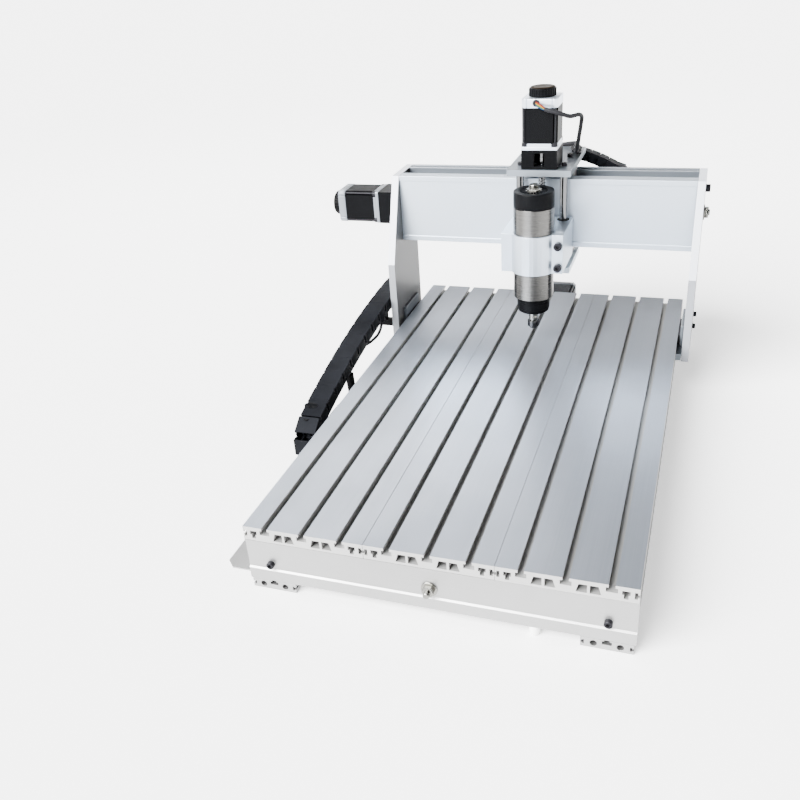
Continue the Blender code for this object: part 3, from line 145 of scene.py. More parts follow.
def sizes():
    """The sizes as they are set."""
    return bpy.context.scene.router_sizes


def colours():
    """The colours as they are set."""
    return bpy.context.scene.router_colours


# ============================================================== node writing
class Num:
    """A number in a shader: Python's operators on it add Math nodes."""

    def __init__(self, board, socket):
        self.board, self.socket = board, socket

    def math(self, operation, first, second):
        """Adds one Math node."""
        made = self.board.node("ShaderNodeMath", {"operation": operation}, {0: first, 1: second})
        return Num(self.board, made.outputs[0])

    def __add__(self, other):
        return self.math("ADD", self, other)

    __radd__ = __add__

    def __mul__(self, other):
        return self.math("MULTIPLY", self, other)

    __rmul__ = __mul__

    def size(self):
        """The number without its sign."""
        return self.math("ABSOLUTE", self, 0.0)

    def ramp(self, low, high):
        """0 at low, 1 at high and clamped beyond them."""
        made = self.board.node(
            "ShaderNodeMapRange", {}, {"Value": self, "From Min": low, "From Max": high}
        )
        return Num(self.board, made.outputs[0])


class Board:
    """Writes nodes into one tree."""

    def __init__(self, tree):
        self.tree = tree
        tree.nodes.clear()

    def node(self, kind, settings, sockets):
        """Adds a node, its settings first and then the values or links of its sockets."""
        made = self.tree.nodes.new(kind)
        for name, value in settings.items():
            setattr(made, name, value)
        for key, value in sockets.items():
            if isinstance(value, Num):
                value = value.socket
            if isinstance(value, bpy.types.NodeSocket):
                self.tree.links.new(value, made.inputs[key])
            else:
                made.inputs[key].default_value = value
        return made

    def place(self, scale=(1.0, 1.0, 1.0), turn=(0.0, 0.0, 0.0)):
        """The surface's own place, turned and scaled."""
        source = self.node("ShaderNodeTexCoord", {}, {})
        mapped = self.node(
            "ShaderNodeMapping",
            {},
            {"Vector": source.outputs["Object"], "Rotation": turn, "Scale": scale},
        )
        return mapped.outputs[0]

    def facing(self, index):
        """How far the surface faces along one axis, from -1 to 1."""
        geometry = self.node("ShaderNodeNewGeometry", {}, {})
        return self.axis(geometry.outputs["True Normal"], index)

    def noise(self, scale, detail, roughness, turn=(0.0, 0.0, 0.0)):
        """Noise from 0 to 1; scale gives how many waves there are to a metre along each axis."""
        if not hasattr(scale, "__len__"):
            scale = (scale, scale, scale)
        made = self.node(
            "ShaderNodeTexNoise",
            {},
            {
                "Vector": self.place(scale, turn),
                "Scale": 1.0,
                "Detail": detail,
                "Roughness": roughness,
            },
        )
        return Num(self, made.outputs[0])

    def mix(self, factor, first, second):
        """A colour between two others."""
        made = self.node(
            "ShaderNodeMix",
            {"data_type": "RGBA"},
            {0: factor, 6: rgba(first), 7: rgba(second)},
        )
        return made.outputs[2]

    def tinted(self, base, amount):
        """A colour, plain or from a socket, made lighter or darker."""
        if not isinstance(base, bpy.types.NodeSocket):
            return shade(base, amount)
        made = self.node("ShaderNodeVectorMath", {"operation": "SCALE"}, {0: base, "Scale": amount})
        return made.outputs[0]

    def axis(self, vector, index):
        """One of a vector's three numbers."""
        made = self.node("ShaderNodeSeparateXYZ", {}, {0: vector})
        return Num(self, made.outputs[index])

    def bump(self, height, distance, strength):
        """Small relief, distance deep in metres."""
        sockets = {"Height": height, "Distance": distance, "Strength": strength}
        return self.node("ShaderNodeBump", {}, sockets).outputs[0]


def rgba(value):
    """A plain colour with its alpha, or the socket as it is."""
    return value if isinstance(value, bpy.types.NodeSocket) else (*value, 1.0)


def shade(base, amount):
    """A colour made lighter or darker."""
    return tuple(min(1.0, channel * amount) for channel in base)


# ============================================================== finishes
FINISHES = {}


def finish(name, recipe):
    """The material of that name, made by its recipe when it is first asked for."""
    if name not in FINISHES:
        made = bpy.data.materials.new(name)
        made.use_nodes = True
        board = Board(made.node_tree)
        shader = board.node("ShaderNodeBsdfPrincipled", {}, recipe(board))
        board.node("ShaderNodeOutputMaterial", {}, {"Surface": shader.outputs[0]})
        FINISHES[name] = made
    return FINISHES[name]


def drawn_metal(board, base, waves, rough, depth, wear, metallic):
    """Extruded or brushed metal: streaks along the axis with the fewest waves to a metre."""
    tones = (1 - wear, 1 + wear * 0.6, 0.8)
    darkened, lightened, stained = (board.tinted(base, tone) for tone in tones)
    streak = board.noise(waves, 4.0, 0.6)
    fine = board.noise(tuple(wave * 3.1 for wave in waves), 2.0, 0.5)
    cloud = board.noise(7.0, 4.0, 0.55)
    tone = (streak * 0.6 + fine * 0.4).ramp(0.25, 0.75)
    worn = (cloud * 0.7 + streak * 0.3).ramp(0.35, 0.65)
    light = board.mix(tone, darkened, lightened)
    return {
        "Base Color": board.mix(worn * 0.5, light, stained),
        "Metallic": metallic,
        "Roughness": tone * 0.10 + worn * 0.08 + rough,
        "Normal": board.bump(tone, depth, 0.5),
    }


def table_finish():
    """Brushed on top and plain metal on the cut ends; the slot walls and floors, the sides and the
    underside take the slot colour darkened to 0.85 as painted shade.
    """
    top = BOX["table_profile_centre"][1].z
    skin = 1.2 * MM

    def recipe(board):
        upward = board.facing(2).ramp(0.6, 0.9)
        level = board.axis(board.place(), 2).ramp(top - skin, top - skin / 2)
        brushed = upward * level
        cut = board.facing(1).size().ramp(0.6, 0.9)
        # Painted shade: faces that are neither the brushed top nor a cut end, such as slot walls
        # and floors, get the slot colour darkened to 0.85.
        plain = board.mix(cut, shade(colours().slot, 0.85), colours().slot)
        base = board.mix(brushed, plain, colours().table)
        metallic = brushed * 0.32 + 0.50
        return drawn_metal(board, base, (420.0, 2.2, 420.0), 0.28, 0.00004, 0.16, metallic)

    return finish("table_profile_brushed", recipe)


def profile_finish(along):
    """Bright extrusion, its streaks along one axis."""
    waves = {"X": (2.5, 500.0, 500.0), "Y": (500.0, 2.5, 500.0)}[along]

    def recipe(board):
        return drawn_metal(board, colours().profile, waves, 0.32, 0.00003, 0.06, 0.92)

    return finish("bright_extrusion_" + along.lower(), recipe)


def plate_finish(name="satin_plate", tone=1.0, metallic=0.86, milled=False):
    """Anodised plate.

    With milled set, a plate that faces X keeps the bare metal of its edges, with painted light and
    shade on them: bright where they lean back or face up, darkened as painted shade where they
    stand upright. Its broad faces take its darker base, partly anodised tone and partly painted
    shade.
    """

    def recipe(board):
        grit = board.noise(2600.0, 2.0, 0.6)
        cloud = board.noise(5.0, 3.0, 0.5)
        base = shade(colours().profile if milled else colours().plate, tone)
        face = board.mix(cloud.ramp(0.3, 0.7), shade(base, 0.965), base)
        if milled:
            # Painted light and shade: edge faces that face up keep the full edge colour, and
            # upright ones are darkened to 0.45.
            painted_light_facing_up = board.facing(2).ramp(0.02, 0.12)
            edge = board.mix(painted_light_facing_up, shade(colours().edge, 0.45), colours().edge)
            # Broad faces that face X take the plate's darker base, partly its anodised tone and
            # partly painted shade.
            broad = board.facing(0).size().ramp(0.6, 0.9)
            face = board.mix(broad, edge, face)
        return {
            "Base Color": face,
            "Metallic": metallic,
            "Specular IOR Level": 0.1,
            "Roughness": grit * 0.10 + cloud * 0.06 + 0.30,
            "Normal": board.bump(grit, 0.00003, 0.35),
        }

    return finish(name, recipe)


def cap_finish(name, tone):
    """A motor's cast caps."""

    def recipe(board):
        grain = board.noise(900.0, 3.0, 0.6)
        base = shade(colours().cap, tone)
        return {
            "Base Color": board.mix(grain.ramp(0.3, 0.7), shade(base, 0.93), base),
            "Metallic": 0.88,
            "Roughness": grain * 0.16 + 0.26,
            "Normal": board.bump(grain, 0.00006, 0.5),
        }

    return finish(name, recipe)


def stack_finish(name, tone):
    """The black sheets of a motor's stack."""

    def recipe(board):
        grain = board.noise(1500.0, 2.0, 0.5)
        cloud = board.noise(30.0, 3.0, 0.5)
        base = shade(colours().stack, tone)
        return {
            "Base Color": board.mix(cloud, base, shade(base, 1.7)),
            "Metallic": 0.0,
            "Roughness": grain * 0.12 + 0.34,
            "Specular IOR Level": 0.03,
            "Normal": board.bump(grain, 0.00003, 0.5),
        }

    return finish(name, recipe)


def black_finish():
    """Black anodising, faintly clouded."""

    def recipe(board):
        grain = board.noise(2200.0, 2.0, 0.6)
        cloud = board.noise(14.0, 2.0, 0.5)
        base = colours().black
        return {
            "Base Color": board.mix(cloud.ramp(0.3, 0.7), base, shade(base, 1.6)),
            "Metallic": 0.0,
            "Roughness": grain * 0.14 + 0.28,
            "Specular IOR Level": 0.03,
            "Normal": board.bump(grain, 0.00003, 0.5),
        }

    return finish("black_anodised", recipe)


def steel_finish(name, base, waves, rough, anisotropic=0.0):
    """Steel turned or ground round its own axis: lines across the axis with the most waves."""

    def recipe(board):
        line = board.noise(waves, 3.0, 0.6)
        cloud = board.noise(18.0, 2.0, 0.5)
        return {
            "Base Color": board.mix(line.ramp(0.3, 0.7), shade(base, 0.88), shade(base, 1.10)),
            "Metallic": 1.0,
            "Roughness": line * 0.10 + cloud * 0.05 + rough,
            "Anisotropic": anisotropic,
            "Anisotropic Rotation": 0.25,
            "Normal": board.bump(line, 0.00003, 0.5),
        }

    return finish(name, recipe)


def rod_finish(axis):
    """Steel ground round one axis."""
    waves = {"X": (1500.0, 20.0, 20.0), "Y": (20.0, 1500.0, 20.0), "Z": (20.0, 20.0, 1500.0)}
    return steel_finish("ground_rod_" + axis.lower(), colours().steel, waves[axis], 0.10)


def spindle_finish():
    """The spindle's turned tube, with its light drawn out along the axis."""
    return steel_finish("turned_steel", colours().spindle, (12.0, 12.0, 2400.0), 0.20, 0.92)


def collet_finish():
    """The collet nut's darker steel."""
    base = shade(colours().steel, 0.42)
    return steel_finish("collet_steel", base, (20.0, 20.0, 1500.0), 0.10)


def zinc_finish():
    """Bright plated steel of nuts, washers and the plug socket."""

    def recipe(board):
        patch = board.noise(260.0, 3.0, 0.6)
        return {
            "Base Color": board.mix(patch, (0.12, 0.118, 0.108), (0.26, 0.258, 0.24)),
            "Metallic": 1.0,
            "Roughness": patch * 0.15 + 0.14,
            "Normal": board.bump(patch, 0.00003, 0.3),
        }

    return finish("zinc_plate", recipe)


def screw_finish():
    """Black oxide on cap screws and bolts."""

    def recipe(board):
        patch = board.noise(500.0, 3.0, 0.6)
        return {
            "Base Color": board.mix(patch, (0.006, 0.006, 0.007), (0.022, 0.022, 0.025)),
            "Metallic": 0.4,
            "Roughness": patch * 0.2 + 0.25,
            "Specular IOR Level": 0.03,
            "Normal": board.bump(patch, 0.00003, 0.4),
        }

    return finish("black_oxide", recipe)


def chain_finish():
    """The drag chains' moulded black plastic."""

    def recipe(board):
        grit = board.noise(1400.0, 3.0, 0.6)
        cloud = board.noise(22.0, 3.0, 0.5)
        base = colours().chain
        return {
            "Base Color": board.mix(cloud.ramp(0.3, 0.7), shade(base, 0.8), shade(base, 1.35)),
            "Roughness": grit * 0.16 + 0.42,
            "Specular IOR Level": 0.03,
            "Normal": board.bump(grit, 0.00006, 0.6),
        }

    return finish("chain_plastic", recipe)


def crown_finish():
    """The dark bronze crown of a hand knob."""

    def recipe(board):
        swirl = board.noise(160.0, 4.0, 0.6)
        base = colours().knob
        return {
            "Base Color": board.mix(swirl.ramp(0.35, 0.65), base, shade(base, 2.6)),
            "Roughness": swirl * 0.10 + 0.34,
            "Specular IOR Level": 0.012,
            "Normal": board.bump(swirl, 0.00002, 0.2),
        }

    return finish("knob_crown", recipe)


def rubber_finish():
    """Black rubber of seals, pads, grommet and clip."""

    def recipe(board):
        grit = board.noise(1800.0, 2.0, 0.6)
        return {
            "Base Color": board.mix(grit, (0.012, 0.012, 0.013), (0.024, 0.024, 0.026)),
            "Roughness": grit * 0.15 + 0.48,
            "Specular IOR Level": 0.03,
            "Normal": board.bump(grit, 0.00005, 0.6),
        }

    return finish("black_rubber", recipe)


def sleeve_finish():
    """The lead's knitted black sleeve."""

    def recipe(board):
        warp = board.noise(900.0, 2.0, 0.5, (0.0, 0.6, 0.8))
        knit = board.node(
            "ShaderNodeTexWave",
            {"wave_type": "BANDS", "bands_direction": "DIAGONAL"},
            {"Vector": board.place(), "Scale": 420.0, "Distortion": 1.5},
        )
        ridge = Num(board, knit.outputs["Fac"]) * 0.6 + warp * 0.4
        return {
            "Base Color": board.mix(ridge, (0.006, 0.006, 0.007), (0.022, 0.022, 0.024)),
            "Roughness": ridge * 0.2 + 0.32,
            "Specular IOR Level": 0.03,
            "Normal": board.bump(ridge, 0.00015, 0.7),
        }

    return finish("black_sleeve", recipe)


def wire_finish(name, base):
    """The coloured skin of one of the motor's wires."""

    def recipe(board):
        patch = board.noise(400.0, 2.0, 0.5)
        return {
            "Base Color": board.mix(patch, shade(base, 0.85), shade(base, 1.1)),
            "Roughness": patch * 0.1 + 0.42,
            "Specular IOR Level": 0.1,
            "Normal": board.bump(patch, 0.00003, 0.3),
        }

    return finish("wire_" + name, recipe)


def foot_finish():
    """The pale foot's smooth rubber."""

    def recipe(board):
        patch = board.noise(120.0, 2.0, 0.5)
        return {
            "Base Color": board.mix(patch, (0.72, 0.73, 0.72), (0.85, 0.85, 0.84)),
            "Roughness": patch * 0.1 + 0.3,
        }

    return finish("pale_rubber", recipe)


# ============================================================== mesh tools
TURN = {
    "X": Matrix.Rotation(math.pi / 2, 4, "Z") @ Matrix.Rotation(math.pi / 2, 4, "X"),
    "Y": Matrix.Rotation(math.pi / 2, 4, "X"),
    "Z": Matrix.Identity(4),
}
AXES = {"X": Vector((1, 0, 0)), "Y": Vector((0, 1, 0)), "Z": Vector((0, 0, 1))}


def mesh_from(shape, name, smooth_angle=SMOOTH_ANGLE):
    """Turns a bmesh into a mesh, its faces pointing outwards and its round ones smooth."""
    shape.normal_update()
    bmesh.ops.recalc_face_normals(shape, faces=shape.faces)
    made = bpy.data.meshes.new(name)
    shape.to_mesh(made)
    shape.free()
    made.shade_smooth()
    made.set_sharp_from_angle(angle=math.radians(smooth_angle))
    return made


def ring_points(radius, height, sides):
    """Points round Z at one height."""
    angles = [2 * math.pi * i / sides for i in range(sides)]
    return [(radius * math.cos(a), radius * math.sin(a), height) for a in angles]


def strip(shape, first, second):
    """Adds the faces between two closed rings, either of which may be a single point."""
    sides = max(len(first), len(second))
    for i in range(sides):
        j = (i + 1) % sides
        corners = [first[i % len(first)], first[j % len(first)]]
        corners += [second[j % len(second)], second[i % len(second)]]
        shape.faces.new(list(dict.fromkeys(corners)))


def lathe(profile, sides, at=None):
    """A profile of (radius, height) pairs, turned about Z, from its top to its foot."""
    shape = bmesh.new()
    move = at or Matrix.Identity(4)
    rows = []
    for radius, height in profile:
        points = ring_points(radius, height, sides) if radius else [(0.0, 0.0, height)]
        rows.append([shape.verts.new(move @ Vector(point)) for point in points])
    if len(rows[0]) > 1 and len(rows[-1]) > 1:
        rows.append(rows[0])
    for upper, lower in zip(rows, rows[1:]):
        strip(shape, lower, upper)
    return shape


def standing(origin, axis):
    """The place of a shape made about Z, stood at origin with its Z along axis."""
    turn = Vector(axis).to_track_quat("Z", "Y").to_matrix().to_4x4()
    return Matrix.Translation(origin) @ turn


def capped(*steps):
    """A stack of (radius, height) steps, top down, closed on the axis."""
    return [(0.0, steps[0][1]), *steps, (0.0, steps[-1][1])]


def eased(radius, top, foot, ease):
    """A plain cylinder's steps with both edges chamfered."""
    inner = radius - ease
    return [(inner, top), (radius, top - ease), (radius, foot + ease), (inner, foot)]


def add_spline(data, points):
    """Adds a straight-sided spline through the points to a curve."""
    spline = data.splines.new("POLY")
    spline.points.add(len(points) - 1)
    for point, at in zip(spline.points, points):
        point.co = (*at, 1.0)
    return spline


def curve_shape(data):
    """A curve's solid, its caps welded to its sides."""
    shape = bmesh.new()
    shape.from_mesh(evaluated_mesh(bpy.data.objects.new("curve", data)))
    bmesh.ops.remove_doubles(shape, verts=shape.verts, dist=WELD_GAP)
    return shape


def extruded(outline, facing, low, high, ease=0.0):
    """A flat outline, extruded along one axis, its edges rounded by ease."""
    data = bpy.data.curves.new("outline", "CURVE")
    data.dimensions = "2D"
    data.fill_mode = "BOTH"
    data.extrude = (high - low) / 2 - ease
    data.bevel_depth = ease
    data.bevel_resolution = 1
    data.offset = -ease
    add_spline(data, [(u, v, 0.0) for u, v in outline]).use_cyclic_u = True
    centre = AXES[facing] * (low + high) / 2
    return moved(curve_shape(data), Matrix.Translation(centre) @ TURN[facing])


def evaluated_mesh(obj):
    """The plain mesh of an object with its modifiers, which is then removed."""
    bpy.context.scene.collection.objects.link(obj)
    graph = bpy.context.evaluated_depsgraph_get()
    made = bpy.data.meshes.new_from_object(obj.evaluated_get(graph))
    bpy.data.objects.remove(obj)
    return made


def arc(u, v, radius, start, end, steps):
    """Points from angle start to angle end, in degrees, both ends included."""
    angles = [math.radians(start + (end - start) * i / steps) for i in range(steps + 1)]
    return [(u + radius * math.cos(a), v + radius * math.sin(a)) for a in angles]


def box_shape(low, high, ease=0.0, segments=2):
    """A block between two corners, its edges rounded by ease."""
    shape = bmesh.new()
    bmesh.ops.create_cube(shape, size=1.0)
    low, high = Vector(low), Vector(high)
    bmesh.ops.scale(shape, vec=high - low, verts=shape.verts)
    bmesh.ops.translate(shape, vec=(low + high) / 2, verts=shape.verts)
    if ease:
        bmesh.ops.bevel(
            shape, geom=shape.edges[:], offset=ease, segments=segments, affect="EDGES", profile=0.5
        )
    return shape


def merge(*shapes):
    """One bmesh of several bmeshes and meshes, which are used up."""
    whole = bmesh.new()
    for shape in shapes:
        part = shape
        if isinstance(shape, bmesh.types.BMesh):
            part = bpy.data.meshes.new("part")
            shape.to_mesh(part)
            shape.free()
        whole.from_mesh(part)
        bpy.data.meshes.remove(part)
    return whole


def moved(shape, matrix):
    """The mesh or bmesh, put in its place."""
    shape.transform(matrix)
    return shape


def shaped(name, data):
    """An object of a finished mesh, linked to the scene."""
    obj = bpy.data.objects.new(name, data)
    bpy.context.scene.collection.objects.link(obj)
    return obj


def piece(name, shape, look, body, stands_for=(), smooth_angle=SMOOTH_ANGLE):
    """A finished piece: its look, the body it rides on and what it stands for."""
    data = shape if isinstance(shape, bpy.types.Mesh) else mesh_from(shape, name, smooth_angle)
    data.name = name
    obj = shaped(name, data)
    if look:
        data.materials.clear()
        data.materials.append(look)
    if stands_for:
        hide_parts(*stands_for)
    if body:
        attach(obj, body)
    return obj


def tube(name, points, radius, look, body, stands_for, roundness):
    """A round cord or wire along a smooth curve through its points."""
    data = bpy.data.curves.new(name, "CURVE")
    data.dimensions = "3D"
    data.bevel_depth = radius
    data.bevel_resolution = roundness
    data.use_fill_caps = True
    add_spline(data, smooth_route([Vector(point) for point in points], 6))
    return piece(name, curve_shape(data), look, body, stands_for, CORD_ANGLE)


def smooth_route(points, steps):
    """Points along a Catmull-Rom curve, with so many steps between two of the given points."""
    ends = [2 * points[0] - points[1], *points, 2 * points[-1] - points[-2]]
    route = []
    for i in range(1, len(ends) - 2):
        p0, p1, p2, p3 = ends[i - 1], ends[i], ends[i + 1], ends[i + 2]
        for step in range(steps):
            t = step / steps
            spread = 2 * p0 - 5 * p1 + 4 * p2 - p3
            cubic = 3 * p1 - p0 - 3 * p2 + p3
            route.append(0.5 * (2 * p1 + (p2 - p0) * t + spread * t**2 + cubic * t**3))
    return [*route, points[-1]]


# ============================================================== geometry nodes
def node_group(name, inputs):
    """An empty Geometry Nodes tree with named inputs, and its writer."""
    group = bpy.data.node_groups.new(name, "GeometryNodeTree")
    group.interface.new_socket("Geometry", in_out="INPUT", socket_type="NodeSocketGeometry")
    for label, kind in inputs:
        group.interface.new_socket(label, in_out="INPUT", socket_type="NodeSocket" + kind)
    group.interface.new_socket("Geometry", in_out="OUTPUT", socket_type="NodeSocketGeometry")
    board = Board(group)
    return group, board, board.node("NodeGroupInput", {}, {})


def close_group(board, entry, points, rotation, scale=None):
    """Sets the item on the points, makes it real and gives it its finish."""
    item = board.node("GeometryNodeObjectInfo", {}, {"Object": entry.outputs["Item"]})
    sockets = {
        "Points": points,
        "Instance": item.outputs["Geometry"],
        "Rotation": rotation,
    }
    if scale:
        sockets["Scale"] = scale
    copies = board.node("GeometryNodeInstanceOnPoints", {}, sockets)
    real = board.node(
        "GeometryNodeRealizeInstances", {}, {"Geometry": copies.outputs["Instances"]}
    )
    painted = board.node(
        "GeometryNodeSetMaterial",
        {},
        {"Geometry": real.outputs[0], "Material": entry.outputs["Finish"]},
    )
    board.node("NodeGroupOutput", {}, {"Geometry": painted.outputs[0]})


def aligned(board, axis, vector, rotation=None, pivot="AUTO"):
    """Turns one axis of a rotation to a vector."""
    sockets = {"Vector": vector}
    if rotation:
        sockets["Rotation"] = rotation
    made = board.node(
        "FunctionNodeAlignRotationToVector", {"axis": axis, "pivot_axis": pivot}, sockets
    )
    return made.outputs[0]


def attribute(board, name, kind):
    """Reads one of the carrier's own values."""
    made = board.node("GeometryNodeInputNamedAttribute", {"data_type": kind}, {"Name": name})
    return made.outputs[0]


def on_points_group():
    """Sets an item on each vertex, its Z along the facing attribute and scaled by size."""
    group, board, entry = node_group("set_on_points", [("Item", "Object"), ("Finish", "Material")])
    rotation = aligned(board, "Z", attribute(board, "facing", "FLOAT_VECTOR"))
    size = attribute(board, "size", "FLOAT")
    close_group(board, entry, entry.outputs["Geometry"], rotation, size)
    return group


def on_path_group():
    """Sets an item along a curve at each pitch, its X along the curve and its Y to one side."""
    inputs = [("Item", "Object"), ("Pitch", "Float"), ("Side", "Vector"), ("Finish", "Material")]
    group, board, entry = node_group("links_on_path", inputs)
    points = board.node(
        "GeometryNodeCurveToPoints",
        {"mode": "LENGTH"},
        {"Curve": entry.outputs["Geometry"], "Length": entry.outputs["Pitch"]},
    )
    ahead = aligned(board, "X", points.outputs["Tangent"])
    rotation = aligned(board, "Y", entry.outputs["Side"], ahead, "X")
    close_group(board, entry, points.outputs["Points"], rotation)
    return group


def ring_group():
    """Sets an item round Z on a circle, its X pointing outwards."""
    inputs = [("Item", "Object"), ("Count", "Int"), ("Radius", "Float"), ("Finish", "Material")]
    group, board, entry = node_group("ring_of_items", inputs)
    circle = board.node(
        "GeometryNodeMeshCircle",
        {},
        {"Vertices": entry.outputs["Count"], "Radius": entry.outputs["Radius"]},
    )
    place = board.node("GeometryNodeInputPosition", {}, {})
    rotation = aligned(board, "X", place.outputs[0], None, "Z")
    close_group(board, entry, circle.outputs[0], rotation)
    return group


def row_group():
    """Sets an item in a straight row."""
    inputs = [("Item", "Object"), ("Count", "Int"), ("Step", "Vector"), ("Finish", "Material")]
    group, board, entry = node_group("row_of_items", inputs)
    line = board.node(
        "GeometryNodeMeshLine",
        {"mode": "OFFSET"},
        {"Count": entry.outputs["Count"], "Offset": entry.outputs["Step"]},
    )
    rotation = board.node("FunctionNodeEulerToRotation", {}, {}).outputs[0]
    close_group(board, entry, line.outputs[0], rotation)
    return group


GROUPS = {}


def repeated(maker, carrier, item, look, **values):
    """The plain mesh that a Geometry Nodes group makes of an item on a carrier."""
    if maker not in GROUPS:
        GROUPS[maker] = maker()
    group = GROUPS[maker]
    holder = shaped("item", mesh_from(item, "item"))
    obj = bpy.data.objects.new("carrier", carrier)
    modifier = obj.modifiers.new("repeat", "NODES")
    modifier.node_group = group
    sockets = {
        entry.name: entry.identifier
        for entry in group.interface.items_tree
        if entry.in_out == "INPUT"
    }
    for label, value in {"Item": holder, "Finish": look, **values}.items():
        modifier[sockets[label]] = value
    made = evaluated_mesh(obj)
    bpy.data.objects.remove(holder)
    return made


def points_mesh(places):
    """Vertices with a facing and a size: the carrier for set_on_points."""
    data = bpy.data.meshes.new("places")
    data.from_pydata([at for at, _, _ in places], [], [])
    data.attributes.new("facing", "FLOAT_VECTOR", "POINT")
    data.attributes.new("size", "FLOAT", "POINT")
    for i, (_, direction, scale) in enumerate(places):
        data.attributes["facing"].data[i].vector = direction
        data.attributes["size"].data[i].value = scale
    return data


def ring_of(item, look, count, radius):
    """The plain mesh of an item set round Z on a circle."""
    carrier = bpy.data.meshes.new("ring")
    return repeated(ring_group, carrier, item, look, Count=count, Radius=radius)


# ============================================================== plates, profiles and beams
FLAT_ANGLE = math.radians(0.5)
SHARP_ANGLE = math.radians(40.0)
BROAD_EDGES = {"front_beam": 2.4}


def ease_edges(node):
    """Rounds a CAD node's sharp edges without touching its own mesh."""
    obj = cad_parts[node]
    weld = obj.modifiers.new("weld", "WELD")
    weld.merge_threshold = WELD_GAP
    flat = obj.modifiers.new("flat", "DECIMATE")
    flat.decimate_type = "DISSOLVE"
    flat.angle_limit = FLAT_ANGLE
    edge = obj.modifiers.new("edge", "BEVEL")
    edge.width = sizes().edge * BROAD_EDGES.get(node, 1.0)
    edge.segments = 2
    edge.limit_method = "ANGLE"
    edge.angle_limit = SHARP_ANGLE


def paint(node, look):
    """Gives a CAD node its finish."""
    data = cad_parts[node].data
    data.materials.clear()
    data.materials.append(look)


STEPS = []


def piece_operator(cls):
    """Marks an operator as one of the steps that main runs, in the order they are written."""
    STEPS.append(cls)
    return cls


@piece_operator
class ROUTER_OT_frame_finishes(bpy.types.Operator):
    """Finishes the plates, profiles, beams and blocks that keep their CAD shape"""

    bl_idname = "router.frame_finishes"
    bl_label = "Frame finishes"

    def execute(self, context):
        # The side plates' broad faces are darkened to 0.23, partly anodised tone and partly painted
        # shade.
        side_plate = plate_finish("side_plate", 0.23, 0.20, True)
        looks = {
            table_finish(): ("table_profile_left", "table_profile_centre", "table_profile_right"),
            profile_finish("X"): (
                "front_beam",
                "rear_beam",
                "x_chain_shelf",
                "x_bearing_block",
            ),
            profile_finish("Y"): (
                "left_runner",
                "right_runner",
                "y_chain_tray",
                "left_y_bearing",
                "right_y_bearing",
                "y_nut_block",
            ),
            side_plate: ("left_gantry_plate", "right_gantry_plate"),
            plate_finish(): ("gantry_front_panel", "z_slide_block", "spindle_clamp"),
            plate_finish("grey_plate", 0.42): (
                "gantry_rear_member",
                "gantry_cross_plate",
                "carriage_top_plate",
            ),
            # Painted light: the carriage's bottom plate is drawn near white and not metallic,
            # lifting the shade that falls on its top behind the slide block.
            plate_finish("plate_painted_light", 1.9, 0.0): ("carriage_bottom_plate",),
            plate_finish("block_plate", 0.16, 0.20): ("left_side_block", "right_side_block"),
            black_finish(): ("x_motor_mount", "y_motor_mount", "z_motor_mount", "y_chain_bracket"),
        }
        for look, nodes in looks.items():
            for node in nodes:
                paint(node, look)
                ease_edges(node)
        return {"FINISHED"}


# ============================================================== rods and screws
def rod(node, axis, body):
    """A ground round rod with chamfered ends."""
    size = extent(node)
    span = size.dot(AXES[axis])
    profile = capped(*eased(min(size) / 2, span / 2, -span / 2, 0.6 * MM))
    shape = lathe(profile, 40, standing(middle(node), AXES[axis]))
    piece(node + "_ground", shape, rod_finish(axis), body, (node,))


def groove_at(phase):
    """How deep the groove is at a share of one turn, from 0 to 1."""
    if not 0.2 < phase < 0.8:
        return 0.0
    return math.sqrt(max(0.0, math.sin(math.pi * (phase - 0.2) / 0.6)))


def thread(radius, low, high):
    """A lead screw's rolled thread along Z: rings of points whose groove follows a helix."""
    sides, rings_a_turn = 20, 8
    shape = bmesh.new()
    pitch, depth = sizes().screw_pitch, sizes().thread_depth
    count = round((high - low) / pitch * rings_a_turn)
    rings = []
    for row in range(count + 1):
        height = low + (high - low) * row / count
        ring = []
        for side in range(sides):
            angle = 2 * math.pi * side / sides
            reach = radius - depth * groove_at((height / pitch - side / sides) % 1.0)
            at = (reach * math.cos(angle), reach * math.sin(angle), height)
            ring.append(shape.verts.new(at))
        rings.append(ring)
    for lower, upper in zip(rings, rings[1:]):
        strip(shape, lower, upper)
    shape.faces.new(list(reversed(rings[0])))
    shape.faces.new(rings[-1])
    return shape


def coupling(low, high, radius):
    """A clamping coupling with its slits and chamfered ends, along Z."""
    waist, ease = radius - 1.2 * MM, 0.8 * MM
    steps = [(radius - ease, high), (radius, high - ease)]
    for i in range(4):
        slit = high - (high - low) * (0.34 + 0.09 * i)
        top, foot = slit + 0.5 * MM, slit - 0.1 * MM
        steps += [(radius, top), (waist, top), (waist, foot), (radius, foot)]
    steps += [(radius, low + ease), (radius - ease, low)]
    return lathe(capped(*steps), 40)


def hexagon(across, low, high):
    """A hexagonal nut's prism along Z with rounded corners."""
    outline = [(x, y) for x, y, _ in ring_points(across / math.sqrt(3), 0.0, 6)]
    return extruded(outline, "Z", low, high, 0.5 * MM)


# Each lead screw's radius, its coupling's radius and its coupling's length.
SCREWS = {
    "y_screw": (8.0 * MM, 10.0 * MM, 28.7 * MM),
    "x_screw": (8.0 * MM, 10.0 * MM, 28.7 * MM),
    "z_screw": (6.0 * MM, 10.0 * MM, 24.7 * MM),
}
WASHER = 1.6 * MM


